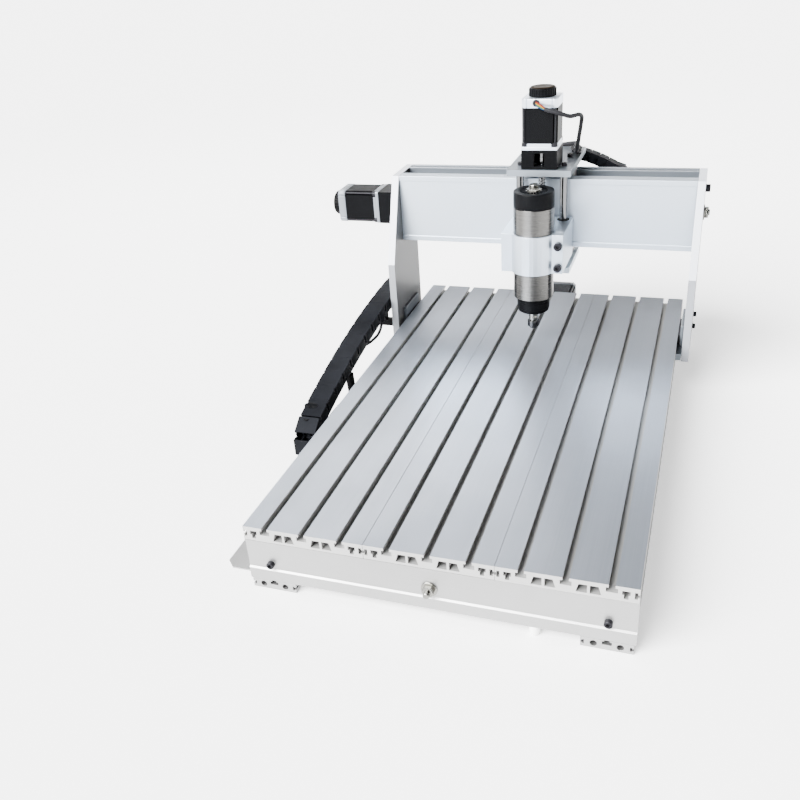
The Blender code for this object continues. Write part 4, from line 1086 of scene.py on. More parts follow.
def drive_screw(node, name, axis, flip, body, plain_end=None):
    """A lead screw with its coupling, standing along its axis.

    flip is -1 where the motor is at the low end. plain_end adds the stud, washer and nut
    that hold the far end, as (stud radius, nut across flats, seat, nut height, stud's tip,
    thread's end). The seat, tip and end are places along the axis.
    """
    low, high = BOX[node]
    lane = AXES[axis]
    start, end = low.dot(lane), high.dot(lane)
    centre = middle(node)
    centre -= lane * centre.dot(lane)
    radius, coupling_radius, coupling_length = SCREWS[node]
    motor_end, far = (end, start) if flip > 0 else (start, end)
    coupling_foot = motor_end - flip * coupling_length
    place = standing(centre, lane)
    if plain_end:
        stud, across, seat, height, tip, far = plain_end
        nut = sorted((seat, seat - flip * height))
        washer = sorted((seat, seat + flip * WASHER), reverse=True)
        stud_ends = sorted((tip, far), reverse=True)
        held = merge(
            hexagon(across, *nut),
            lathe(capped(*eased(stud, *stud_ends, 0.5 * MM)), 24),
            lathe(capped(*eased(across * 0.78, *washer, 0.3 * MM)), 40),
        )
        moved(held, place)
        piece(name + "_nut", held, zinc_finish(), body, (), THREAD_ANGLE)
    shape = merge(
        coupling(*sorted((motor_end, coupling_foot)), coupling_radius),
        thread(radius, *sorted((coupling_foot, far))),
    )
    piece(name, moved(shape, place), rod_finish(axis), body, (node,), THREAD_ANGLE)


@piece_operator
class ROUTER_OT_rods(bpy.types.Operator):
    """Makes the round rods and the lead screws with their couplings and nuts"""

    bl_idname = "router.rods"
    bl_label = "Rods and screws"

    def execute(self, context):
        for node, axis, body in (
            ("left_y_rod", "Y", "base"),
            ("right_y_rod", "Y", "base"),
            ("upper_x_rod", "X", "gantry"),
            ("lower_x_rod", "X", "gantry"),
            ("left_z_rod", "Z", "x_carriage"),
            ("right_z_rod", "Z", "x_carriage"),
        ):
            rod(node, axis, body)
        front = BOX["front_beam"][0].y
        y_end = (4.0 * MM, 13.0 * MM, front, 6.5 * MM, BOX["y_screw"][0].y, front + 18.3 * MM)
        drive_screw("y_screw", "y_lead_screw", "Y", 1, "y_drive", y_end)
        plate = BOX["right_gantry_plate"]
        seat = plate[1].x + FIT_GAP + WASHER
        x_end = (5.0 * MM, 16.0 * MM, seat, 6.0 * MM, BOX["x_screw"][1].x, plate[0].x - FIT_GAP)
        drive_screw("x_screw", "x_lead_screw", "X", -1, "x_drive", x_end)
        drive_screw("z_screw", "z_lead_screw", "Z", 1, "z_drive")
        return {"FINISHED"}


# ============================================================== motors and knobs
def corner_points(corner):
    """Repeats the points of one corner at each quarter turn."""
    points = []
    for _ in range(4):
        points += corner
        corner = [(-v, u) for u, v in corner]
    return points


def notched(size, step, round_in=0.0):
    """A square outline with its corners stepped in, the inner ones rounded by round_in."""
    half, inner = size / 2, size / 2 - step
    bend = arc(inner - round_in, inner - round_in, round_in, 0, 90, 4) if round_in else None
    return corner_points([(half, inner), *(bend or [(inner, inner)]), (inner, half)])


def motor_frame(axis, flip):
    """The turn that stands a motor made about Z on its axis, flange first."""
    return (AXES[axis] * flip).to_track_quat("Z", "Y").to_matrix().to_4x4()


# Each motor's cast caps and stack: the finish's name and its tone.
# The Y motor's caps are darkened to 0.16 as painted shade, and its stack is drawn seven times
# lighter than the other stacks.
CASTS = {"x": ("cast_cap_cool", 0.30), "y": ("cast_cap_painted_shade", 0.16), "z": ("cast_motor_cap", 1.0)}
STACKS = {
    "x": ("motor_lamination", 1.0),
    "y": ("lamination_lighter", 7.0),
    "z": ("motor_lamination", 1.0),
}
FLANGE_LENGTH = FRONT_LENGTH * 0.52
BOLT_SQUARE = 47.14 * MM


def flange_shape():
    """A motor's square flange and the notched part of its front cap."""
    inset = MOTOR_SIZE / 2 - 2.2 * MM
    square = corner_points(arc(inset, inset, 2.2 * MM, 0, 90, 4))
    corners = notched(MOTOR_SIZE - 0.6 * MM, 9.2 * MM, 4.0 * MM)
    return merge(
        extruded(square, "Z", 0.0, FLANGE_LENGTH, 0.3 * MM),
        extruded(corners, "Z", FLANGE_LENGTH - 0.1 * MM, FRONT_LENGTH, 0.3 * MM),
    )


def stack_shape(look):
    """A motor's stack: steps with fine gaps between them, round a plain core."""
    count = int(STACK_LENGTH / sizes().sheet)
    step = STACK_LENGTH / count
    sheet = extruded(notched(MOTOR_SIZE - 0.5 * MM, 6.6 * MM), "Z", 0.0, step * 0.90)
    carrier = bpy.data.meshes.new("row")
    sheets = repeated(row_group, carrier, sheet, look, Count=count, Step=(0.0, 0.0, step))
    corners = notched(MOTOR_SIZE - 1.1 * MM, 6.9 * MM)
    core = extruded(corners, "Z", 0.1 * MM, STACK_LENGTH - 0.1 * MM)
    return moved(merge(sheets, core), Matrix.Translation((0.0, 0.0, FRONT_LENGTH + FIT_GAP)))


def bolts_shape():
    """The four long bolts in the stack's corners."""
    inset = MOTOR_SIZE / 2 - 3.9 * MM
    top, foot = FRONT_LENGTH + STACK_LENGTH + FIT_GAP, FRONT_LENGTH + 0.1 * MM
    steps = capped(*eased(1.7 * MM, top, foot, 0.2 * MM))
    corners = corner_points([(inset, inset)])
    return merge(*(lathe(steps, 16, Matrix.Translation((u, v, 0.0))) for u, v in corners))


def rear_cap_shape():
    """A motor's rear cap: chamfered corners and a groove near each end of its sides."""
    half, groove, cut = MOTOR_SIZE / 2, 1.1 * MM, 5.0 * MM
    lobe = half - 8.6 * MM
    corner = [
        (half, lobe - groove),
        (half - groove, lobe),
        (half, lobe + groove),
        (half, half - cut),
        (half - cut, half),
        (lobe + groove, half),
        (lobe, half - groove),
        (lobe - groove, half),
    ]
    foot = FRONT_LENGTH + STACK_LENGTH + 2 * FIT_GAP
    return extruded(corner_points(corner), "Z", foot, foot + REAR_LENGTH, 0.5 * MM)


def build_motor(prefix, axis, flip, body):
    """One stepper motor with its screws; the Y motor is a single node in the frame."""
    front, stack, rear = (), ("y_motor",), ()
    if prefix != "y":
        ends = ("_motor_front_cap", "_motor_stack", "_motor_rear_cap")
        front, stack, rear = ((prefix + end,) for end in ends)
    low, high = BOX[(front or stack)[0]]
    lane, turn = AXES[axis], motor_frame(axis, flip)
    flange = (low + high) / 2
    flange += lane * ((low if flip > 0 else high).dot(lane) - flange.dot(lane))
    place = Matrix.Translation(flange) @ turn
    cast, plates = cap_finish(*CASTS[prefix]), stack_finish(*STACKS[prefix])
    name = prefix + "_motor_"

    piece(name + "flange", moved(flange_shape(), place), cast, body, front)
    shape = moved(stack_shape(plates), place)
    piece(name + "laminations", shape, plates, body, stack)
    piece(name + "bolts", moved(bolts_shape(), place), screw_finish(), body)
    piece(name + "end_cap", moved(rear_cap_shape(), place), cast, body, rear)

    seats = corner_points([(BOLT_SQUARE / 2, BOLT_SQUARE / 2)])
    up = turn @ Vector((0, 0, 1))
    screws = [(place @ Vector((u, v, FLANGE_LENGTH)), up, FLANGE_HEAD) for u, v in seats]
    screw_set(name + "screws", screws, body)


def fluted_knob(prefix, axis, flip):
    """A hand knob: ribbed skirt, black shoulder and a dark bronze crown."""
    node, body = prefix + "_knob", prefix + "_drive"
    size = extent(node)
    height, radius = size.dot(AXES[axis]), max(size) / 2
    foot = middle(node) - AXES[axis] * flip * height / 2
    place = Matrix.Translation(foot) @ motor_frame(axis, flip)
    skirt = radius - 0.9 * MM
    rib = lathe(capped(*eased(0.95 * MM, height - 2.6 * MM, 0.4 * MM, 0.5 * MM)), 8)
    ribs = ring_of(rib, black_finish(), sizes().flutes, skirt)
    shoulder = [
        (skirt - 1.4 * MM, height - 1.0 * MM),
        (skirt - 0.3 * MM, height - 1.7 * MM),
        (skirt, height - 2.6 * MM),
        (skirt, 0.5 * MM),
        (skirt - 0.8 * MM, 0.0),
    ]
    whole = moved(merge(ribs, lathe(capped(*shoulder), 60)), place)
    piece(prefix + "_knob_skirt", whole, black_finish(), body, (node,))
    rim = skirt - 1.6 * MM
    dome = [
        (rim * 0.30, height - 0.35 * MM),
        (rim * 0.75, height - 0.15 * MM),
        (rim * 0.92, height - 0.05 * MM),
        (rim, height - 0.5 * MM),
        (rim, height - 1.2 * MM),
    ]
    crown = lathe(capped(*dome), 60, place)
    piece(prefix + "_knob_crown", crown, crown_finish(), body)


def socket_points(corner, height, sides):
    """A hexagon at one height, as the points where evenly spaced spokes cross it."""
    sixth = math.pi / 3
    points = []
    for x, y, _ in ring_points(1.0, 0.0, sides):
        turn = math.atan2(y, x) % sixth - sixth / 2
        reach = corner * math.cos(sixth / 2) / math.cos(turn)
        points.append((x * reach, y * reach, height))
    return points


def cap_screw_head():
    """An M5 cap screw's head at full size, standing on Z, with its hexagon socket."""
    radius, height, ease, depth = sizes().small_head, 5.0 * MM, 0.5 * MM, 2.6 * MM
    shape = bmesh.new()
    sides = 24
    profile = [(radius, 0.0), (radius, height - ease), (radius - ease, height)]
    rings = [ring_points(reach, level, sides) for reach, level in profile]
    rings += [socket_points(2.3 * MM, level, sides) for level in (height, height - depth)]
    rows = [[shape.verts.new(point) for point in ring] for ring in rings]
    for lower, upper in zip(rows, rows[1:]):
        strip(shape, lower, upper)
    shape.faces.new(list(reversed(rows[0])))
    shape.faces.new(rows[-1])
    return shape


# Scales of a cap screw's head: the first two of an M5 head, the large ones of an M6 head.
FLANGE_HEAD = 1.2
CROSS_PLATE_HEAD = 0.22
LARGE_GANTRY_HEAD = 1.25
LARGE_CLAMP_HEAD = 1.35


def screw_set(name, places, body):
    """A body's cap screws, each given as (seat, direction, scale of an M5 head)."""
    data = repeated(on_points_group, points_mesh(places), cap_screw_head(), screw_finish())
    piece(name, data, None, body)


@piece_operator
class ROUTER_OT_motors(bpy.types.Operator):
    """Makes the three stepper motors with their screws and hand knobs"""

    bl_idname = "router.motors"
    bl_label = "Motors"

    def execute(self, context):
        for prefix, axis, flip, body in (
            ("x", "X", -1, "gantry"),
            ("y", "Y", 1, "base"),
            ("z", "Z", 1, "x_carriage"),
        ):
            build_motor(prefix, axis, flip, body)
            fluted_knob(prefix, axis, flip)
        return {"FINISHED"}


# ============================================================== spindle
CAP_FINS = 22
PLUG_PINS = 4


@piece_operator
class ROUTER_OT_spindle(bpy.types.Operator):
    """Makes the round spindle: body, finned cap, connector, nose, shaft and collet nut"""

    bl_idname = "router.spindle"
    bl_label = "Spindle"

    def execute(self, context):
        axis = Vector((SPINDLE_AXIS.x, SPINDLE_AXIS.y, 0.0))
        low, high = BOX["spindle_body"]
        radius = (high.x - low.x) / 2
        steps = eased(radius, high.z, low.z, 0.5 * MM)
        shape = lathe(capped(*steps), 96, Matrix.Translation(axis))
        piece("spindle_tube", shape, spindle_finish(), "z_slide", ("spindle_body",))
        self.cap(axis, radius)
        self.connector(axis)
        self.nose(axis)
        self.collet(axis)
        return {"FINISHED"}

    def cap(self, axis, radius):
        """The black cap: a groove at its foot, a dished top and a ring of fins."""
        low, high = BOX["spindle_cap"]
        top, foot = high.z, low.z
        steps = [
            (radius * 0.30, top - 1.2 * MM),
            (radius * 0.33, top - 3.4 * MM),
            (radius * 0.66, top - 3.4 * MM),
            (radius * 0.68, top - 0.4 * MM),
            (radius - 2.2 * MM, top),
            (radius - 0.6 * MM, top - 0.6 * MM),
            (radius, top - 2.0 * MM),
            (radius, foot + 1.6 * MM),
            (radius - 0.5 * MM, foot + 1.2 * MM),
            (radius - 0.5 * MM, foot),
        ]
        look = black_finish()
        shape = lathe(capped(*steps), 96, Matrix.Translation(axis))
        piece("spindle_end_cap", shape, look, "z_slide", ("spindle_cap",))
        reach = radius * 0.165
        corners = (-reach, -0.8 * MM, -1.6 * MM), (reach, 0.8 * MM, 1.7 * MM)
        fins = ring_of(box_shape(*corners, 0.2 * MM, 1), look, CAP_FINS, radius * 0.50)
        moved(fins, Matrix.Translation(axis + Vector((0.0, 0.0, top - 2.2 * MM))))
        piece("spindle_cap_fins", fins, None, "z_slide")

    def connector(self, axis):
        """The round metal plug socket: nut, ribbed collar and a dark face with four pins."""
        low, high = BOX["spindle_connector"]
        radius, foot, top = (high.x - low.x) / 2, low.z - 1.0 * MM, high.z
        place = Matrix.Translation(axis)
        nut = hexagon(21.0 * MM, foot, foot + 3.4 * MM)
        washer = lathe(capped(*eased(12.5 * MM, foot + 0.9 * MM, foot - 0.6 * MM, 0.3 * MM)), 48)
        steps = [(radius * 0.62, top - 2.6 * MM), (radius * 0.64, top), (radius * 0.80, top)]
        for i in range(5):
            level = top - (0.4 + i * 1.1) * MM
            steps += [(radius * 0.84, level - 0.25 * MM), (radius * 0.78, level - 0.8 * MM)]
        steps += [(radius * 0.80, foot)]
        shape = moved(merge(nut, washer, lathe(capped(*steps), 40)), place)
        look = zinc_finish()
        piece("spindle_plug_socket", shape, look, "z_slide", ("spindle_connector",))
        steps = (radius * 0.60, top - 1.4 * MM), (radius * 0.60, top - 2.55 * MM)
        face = lathe(capped(*steps), 32, place)
        piece("spindle_plug_face", face, rubber_finish(), "z_slide")
        pin = lathe(capped(*eased(0.6 * MM, 1.6 * MM, 0.0, 0.2 * MM)), 12)
        pins = ring_of(pin, look, PLUG_PINS, radius * 0.3)
        moved(pins, Matrix.Translation(axis + Vector((0.0, 0.0, top - 1.5 * MM))))
        piece("spindle_plug_pins", pins, None, "z_slide")

    def nose(self, axis):
        """The black nose: collar, waist, lock nut, lower chamfer and the shaft's recess."""
        low, high = BOX["spindle_nose"]
        radius, top, foot = (high.x - low.x) / 2, high.z, low.z
        hole, recess = extent("spindle_shaft").x / 2 + 0.4 * MM, foot + 11.0 * MM
        steps = [
            (radius - 0.6 * MM, top),
            (radius, top - 0.6 * MM),
            (radius, top - 6.5 * MM),
            (radius - 1.0 * MM, top - 7.3 * MM),
            (radius - 1.0 * MM, top - 8.6 * MM),
            (radius - 0.3 * MM, top - 9.2 * MM),
            (radius - 0.3 * MM, foot + 8.0 * MM),
            (radius - 1.3 * MM, foot + 7.2 * MM),
            (radius - 1.3 * MM, foot + 6.2 * MM),
            (radius - 0.8 * MM, foot + 5.8 * MM),
            (radius - 1.8 * MM, foot + 1.8 * MM),
            (radius - 4.8 * MM, foot),
            (hole + 2.0 * MM, foot),
            (hole + 1.4 * MM, foot + 0.6 * MM),
            (hole, foot + 0.6 * MM),
            (hole, recess),
        ]
        look = black_finish()
        shape = lathe(capped(*steps), 96, Matrix.Translation(axis))
        piece("spindle_nose_ring", shape, look, "z_slide", ("spindle_nose",))

    def collet(self, axis):
        """The shaft with its two flats, and the collet nut with its wrench slots and bore."""
        low, high = BOX["spindle_shaft"]
        radius = (high.x - low.x) / 2
        outline = arc(0, 0, radius, 24, 156, 16) + arc(0, 0, radius, 204, 336, 16)
        flats = extruded(outline, "Z", low.z, low.z + 8.0 * MM, 0.2 * MM)
        neck = lathe(capped(*eased(radius, high.z, low.z + 7.9 * MM, 0.3 * MM)), 40)
        shape = moved(merge(flats, neck), Matrix.Translation(axis))
        piece("spindle_shaft_flats", shape, zinc_finish(), "spindle", ("spindle_shaft",))
        low, high = BOX["collet_nut"]
        radius = (high.x - low.x) / 2
        outline = []
        for start in range(0, 360, 45):
            outline += arc(0, 0, radius, start + 6, start + 39, 5)
            outline += arc(0, 0, radius - 1.1 * MM, start + 40.5, start + 49.5, 2)
        bore = 3.2 * MM
        ring = extruded(outline, "Z", low.z + 3.0 * MM, high.z, 0.25 * MM)
        tip = lathe(
            [
                (bore, low.z + 6.0 * MM),
                (radius - 1.2 * MM, low.z + 6.0 * MM),
                (radius - 1.2 * MM, low.z + 2.6 * MM),
                (radius - 3.2 * MM, low.z),
                (bore + 0.8 * MM, low.z),
                (bore, low.z + 0.8 * MM),
            ],
            48,
        )
        shape = moved(merge(ring, tip), Matrix.Translation(axis))
        piece("collet_nut_slotted", shape, collet_finish(), "spindle", ("collet_nut",))


# ============================================================== drag chains
def chain_link(span, pitch, width, height):
    """One link along X, its width along Y: notched side plates, covers, necks and separators."""
    wall, ease = 2.2 * MM, 1.0 * MM
    half, tall, wide = span / 2, height / 2, width / 2
    slit, slit_top = half * 0.48, height * 0.10
    outline = [
        (-half, -tall + ease),
        (-half + ease, -tall),
        (slit, -tall),
        (slit, slit_top - ease),
        (slit + ease, slit_top),
        (slit + 3.2 * MM, slit_top),
        (slit + 4.2 * MM, slit_top - ease),
        (slit + 4.2 * MM, -tall),
        (half - ease, -tall),
        (half, -tall + ease),
        (half, tall - ease),
        (half - ease, tall),
        (-half + ease, tall),
        (-half, tall - ease),
    ]
    parts = []
    for side in (-1, 1):
        ends = sorted((side * wide, side * (wide - wall)))
        parts.append(extruded(outline, "Y", *ends, 0.15 * MM))
        inner = sorted((side * (wide - wall - 0.1 * MM), side * (wide - wall - 1.8 * MM)))
        low = (half * 0.3, inner[0], -tall + 2.2 * MM)
        parts.append(box_shape(low, (pitch - half * 0.75, inner[1], tall - 2.2 * MM), 0.4 * MM, 1))
        rib = side * wide / 3
        low = (-half + 1.5 * MM, rib - 0.6 * MM, -tall + 1.0 * MM)
        parts.append(box_shape(low, (half - 1.5 * MM, rib + 0.6 * MM, tall - 1.0 * MM)))
        level = sorted((side * (tall - 0.12 * MM), side * (tall - 1.6 * MM)))
        low = (-half, -wide + wall * 0.6, level[0])
        parts.append(box_shape(low, (half, wide - wall * 0.6, level[1]), 0.10 * MM, 1))
    return merge(*parts)


def path_curve(points):
    """A curve of straight steps through the points."""
    data = bpy.data.curves.new("path", "CURVE")
    data.dimensions = "3D"
    add_spline(data, points)
    return data


def chain_run(name, points, side, width, height, body, node, link, reach=0.996):
    """The links along one stretch of a chain, from half a pitch inside its ends.

    link is the wanted pitch, and reach a link's length as a share of the real one.
    """
    total = sum((b - a).length for a, b in zip(points, points[1:]))
    pitch = total / max(2, round(total / link))
    data = repeated(
        on_path_group,
        path_curve(along(points, pitch * 0.5, total - pitch * 0.5)),
        chain_link(pitch * reach, pitch, width - 1.0 * MM, height - 0.7 * MM),
        chain_finish(),
        Pitch=pitch * 0.9999,
        Side=tuple(side),
    )
    return piece(name, data, None, body, (node,))


def along(points, start, end):
    """The part of a path between two distances along it."""
    walked, inner = 0.0, []
    for a, b in zip(points, points[1:]):
        step = (b - a).length
        for mark in (start, end):
            if walked <= mark <= walked + step:
                inner.append((mark, a.lerp(b, (mark - walked) / step)))
        walked += step
        if start < walked < end:
            inner.append((walked, b))
    return [at for _, at in sorted(inner, key=lambda pair: pair[0])]


def chain_plan(prefix, side):
    """What a chain's stretches share, the height of its bend's middle and the bend's radius."""
    low, high = BOX[prefix + "_chain_loop"]
    height = extent(prefix + "_chain_lower").z
    size = {"side": side, "width": (high - low).dot(side), "height": height}
    radius = (high.z - low.z) / 2
    return size, low.z + radius, radius - height / 2


RUN_STEPS = 16
BEND_STEPS = 24

# The slope at which the long chain's upper run leaves its bend, and the share of the usual pitch
# that the links in that bend have.
Y_RUN_SLOPE = 0.285
Y_BEND_LINK = 0.75

# Length of a bend's links as a share of their pitch.
Y_BEND_REACH = 0.975
X_BEND_REACH = 0.94


@piece_operator
class ROUTER_OT_chains(bpy.types.Operator):
    """Makes the two drag chains: upper runs, bends and lower runs"""

    bl_idname = "router.chains"
    bl_label = "Drag chains"

    def execute(self, context):
        self.y_chain()
        self.x_chain()
        return {"FINISHED"}

    def y_chain(self):
        """The long chain beside the table: its upper run climbs to the gantry's bracket."""
        low, high = BOX["y_chain_loop"]
        run, rest = BOX["y_chain_upper"], BOX["y_chain_lower"]
        size, axis_z, bend = chain_plan("y", AXES["X"])
        link = sizes().y_link
        x = (low.x + high.x) / 2
        reach, climb = run[1].y - high.y, run[1].z - high.z
        level = reach / (2 - 2 * climb / (Y_RUN_SLOPE * reach))
        upper = []
        for i in range(RUN_STEPS + 1):
            gone = reach * i / RUN_STEPS
            rise = Y_RUN_SLOPE * gone * (1 - gone / (2 * level))
            upper.append(Vector((x, high.y + gone, axis_z + bend + rise)))
        piece_upper = chain_run(
            "y_chain_upper_links", upper, body=None, node="y_chain_upper", link=link, **size
        )
        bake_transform(piece_upper)
        lower = [Vector((x, y, axis_z - bend)) for y in (high.y, rest[1].y)]
        piece_lower = chain_run(
            "y_chain_lower_links", lower, body=None, node="y_chain_lower", link=link, **size
        )
        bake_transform(piece_lower)
        turn = arc(high.y, axis_z, bend - 2.2 * MM, 90, 270, BEND_STEPS)
        turn = [Vector((x, u, v)) for u, v in turn]
        chain_run(
            "y_chain_bend_links", turn, body="y_chain", node="y_chain_loop",
            link=link * Y_BEND_LINK, reach=Y_BEND_REACH, **size
        )
        self.cable_ports(upper, (low.y + high.y) / 2, x, high.z)

    def cable_ports(self, upper, bend_y, x, bend_top):
        """The oval port in the upper run's last link and the small one in the bend's first; their
        black sunk floors are painted shade standing for open holes.
        """
        start, ahead = upper[0], (upper[1] - upper[0]).normalized()
        across = AXES["X"]
        lift = across.cross(ahead).normalized()
        top = extent("y_chain_lower").z / 2 - 0.35 * MM
        centre = start + ahead * 21.5 * MM + lift * top + across * -7.4 * MM
        turn = Matrix((across, ahead, lift)).transposed().to_4x4()
        rim = moved(self.port(11.5 * MM, 6.0 * MM), Matrix.Translation(centre) @ turn)
        # Painted shade: the port's black sunk floor stands for the depth of an open hole.
        oval = piece("y_chain_oval_port", rim, black_finish(), None)
        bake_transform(oval)
        at = (x - 3.7 * MM, bend_y + 8.0 * MM, bend_top - 2.4 * MM)
        rim = moved(self.port(4.2 * MM, 4.0 * MM), Matrix.Translation(at))
        # Painted shade: the small port's black floor stands for the depth of an open hole.
        piece("y_chain_small_port", rim, black_finish(), "y_chain")

    def port(self, half_x, half_y):
        """An oval rim round a shallow sunk floor, flat on Z; the floor stands in for an open hole.
        """
        rows, shape = [], bmesh.new()
        for share, level in ((1.0, -0.6), (1.0, 0.16), (0.90, 0.20), (0.84, -0.10), (0.0, -0.12)):
            points = ring_points(share, level * MM, 40) if share else [(0.0, 0.0, level * MM)]
            rows.append([shape.verts.new((u * half_x, v * half_y, w)) for u, v, w in points])
        for outer, inner in zip(rows, rows[1:]):
            strip(shape, outer, inner)
        shape.faces.new(rows[0])
        return shape

    def x_chain(self):
        """The short chain over its shelf: its upper run comes down from the carriage."""
        low, high = BOX["x_chain_loop"]
        run, rest = BOX["x_chain_upper"], BOX["x_chain_lower"]
        size, axis_z, bend = chain_plan("x", AXES["Y"])
        link = sizes().x_link
        y = (low.y + high.y) / 2
        fall = run[1].z - high.z
        upper = []
        for i in range(RUN_STEPS + 1):
            share = i / RUN_STEPS
            z = axis_z + bend + fall * (1 - share**2)
            upper.append(Vector((run[0].x + (low.x - run[0].x) * share, y, z)))
        piece_upper = chain_run(
            "x_chain_upper_links", upper, body=None, node="x_chain_upper", link=link, **size
        )
        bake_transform(piece_upper)
        lower = [Vector((x, y, axis_z - bend)) for x in (rest[0].x, low.x)]
        piece_lower = chain_run(
            "x_chain_lower_links", lower, body=None, node="x_chain_lower", link=link, **size
        )
        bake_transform(piece_lower)
        turn = arc(low.x, axis_z, bend - 1.6 * MM, 90, -90, BEND_STEPS)
        turn = [Vector((u, y, v)) for u, v in turn]
        chain_run(
            "x_chain_bend_links", turn, body="x_chain", node="x_chain_loop", link=link,
            reach=X_BEND_REACH, **size
        )


# ============================================================== lead and wires
LEAD_RADIUS = 3.3 * MM
WIRE_RADIUS = 0.85 * MM
CORD_RADII = {"thick": 3.0 * MM, "middle": 2.4 * MM, "thin": 2.0 * MM}
WIRES = (
    ("red", (0.075, 0.002, 0.001)),
    ("orange", (0.17, 0.026, 0.001)),
    ("yellow", (0.17, 0.105, 0.002)),
    ("green", (0.006, 0.060, 0.008)),
    ("blue", (0.002, 0.020, 0.075)),
)


@piece_operator
class ROUTER_OT_lead(bpy.types.Operator):
    """Makes the Z motor's lead, wires, grommet and clip, and the cords into the short chain"""

    bl_idname = "router.lead"
    bl_label = "Motor lead"

    def execute(self, context):
        x, y = Z_MOTOR_AXIS.x, Z_MOTOR_AXIS.y
        half = MOTOR_SIZE / 2
        radius = LEAD_RADIUS
        cap_z = middle("z_motor_rear_cap").z
        front = y - half - radius - FIT_GAP
        side = x + half
        rest = BOX["carriage_top_plate"][1].z + radius + 0.6 * MM
        points = [
            (x - 0.002, front - 0.004, cap_z - 0.002),
            (x + 0.008, front - 0.006, cap_z - 0.006),
            (x + 0.020, front - 0.006, cap_z - 0.009),
            (side + 0.005, front - 0.001, cap_z - 0.014),
            (side + 0.018, front + 0.014, cap_z - 0.021),
            (side + 0.028, front + 0.032, cap_z - 0.022),
            (side + 0.031, front + 0.045, cap_z - 0.028),
            (side + 0.029, front + 0.054, cap_z - 0.041),
            (side + 0.025, front + 0.064, cap_z - 0.062),
            (side + 0.021, front + 0.076, cap_z - 0.083),
            (side + 0.017, front + 0.092, rest + 0.005),
            (side + 0.012, front + 0.112, rest),
            (side + 0.004, front + 0.134, rest),
        ]
        route = [Vector(point) for point in points]
        sleeve_start = route[1].lerp(route[2], 0.15)
        tube(
            "z_motor_lead_sleeve", [sleeve_start, *route[2:]], radius, sleeve_finish(),
            "x_carriage", ("z_motor_lead",), 6,
        )
        self.wires(route, x, y - half, cap_z)
        self.clip(route)
        self.chain_cords(route)
        return {"FINISHED"}

    def wires(self, route, x, face, cap_z):
        """The coloured wires between the cap's grommet and the sleeve."""
        hole = Vector((x - 5.5 * MM, face + 0.6 * MM, cap_z + 0.8 * MM))
        end = route[1].lerp(route[2], 0.3)
        for i, (name, base) in enumerate(WIRES):
            lift = (2.0 - i) * 1.3 * MM
            start = hole + Vector(((i % 2) * 1.4 * MM, 0.0, lift * 0.8))
            between = hole.lerp(end, 0.45) + Vector((0.0, -1.6 * MM, lift * 1.1))
            near = hole.lerp(end, 0.12) + Vector((0.0, -2.2 * MM, lift))
            tube(
                "z_motor_wire_" + name, [start, near, between, end + Vector((0, 0, lift * 0.5))],
                WIRE_RADIUS, wire_finish(name, base), "x_carriage", (), 2,
            )
        steps = [
            (2.9 * MM, 0.2 * MM),
            (3.2 * MM, 1.2 * MM),
            (4.8 * MM, 1.2 * MM),
            (5.6 * MM, 0.5 * MM),
            (5.6 * MM, -1.0 * MM),
        ]
        grommet = lathe(capped(*steps), 32, standing((hole.x + 0.7 * MM, face, hole.z), (0, -1, 0)))
        piece("z_motor_grommet", grommet, rubber_finish(), "x_carriage")

    def chain_cords(self, route):
        """The cords that lie from the clip across the plate's corner into the drag chain."""
        plate, run = BOX["carriage_top_plate"], BOX["x_chain_upper"]
        clip = route[-2]
        mouth = Vector((run[0].x, (run[0].y + run[1].y) / 2, run[1].z - 9 * MM))
        for i, (name, radius) in enumerate(CORD_RADII.items()):
            side = (i - 1) * 5.0 * MM
            points = [
                clip + Vector((6 * MM + i * MM, -6 * MM + side, 1.0 * MM)),
                clip + Vector((8 * MM, 8 * MM + side, 2 * MM + i * MM)),
                (plate[1].x - 14 * MM, mouth.y - 34 * MM + side, plate[1].z + 5 * MM),
                (plate[1].x - 22 * MM, mouth.y - 12 * MM + side, plate[1].z + 5 * MM),
                mouth + Vector((-12 * MM, side, 4 * MM)),
                mouth + Vector((14 * MM, side * 0.8, -1.0 * MM)),
            ]
            name = "chain_cord_" + name
            tube(name, points, radius, sleeve_finish(), "x_carriage", (), 3)

    def clip(self, route):
        """The black clip that holds the lead down on the carriage's top plate."""
        top = BOX["carriage_top_plate"][1].z
        foot, radius = route[-2], LEAD_RADIUS
        outline = arc(0.0, radius + 0.6 * MM, radius + 1.3 * MM, 200, -20, 16)
        outline += [(radius + 7.0 * MM, 1.2 * MM), (radius + 7.0 * MM, 0.1 * MM)]
        outline += [(radius + 0.6 * MM, 0.1 * MM)]
        outline += arc(0.0, radius + 0.6 * MM, radius + 0.2 * MM, -10, 190, 16)
        shape = extruded(outline, "Y", -4.0 * MM, 4.0 * MM, 0.2 * MM)
        moved(shape, Matrix.Translation((foot.x, foot.y, top)))
        piece("lead_clip", shape, rubber_finish(), "x_carriage")


# ============================================================== fasteners and small pieces
CLAMP_FACE_Y = SPINDLE_AXIS.y - 17.0 * MM
CABLE_RADIUS = 2.6 * MM
POST_TOP = 86.0 * MM


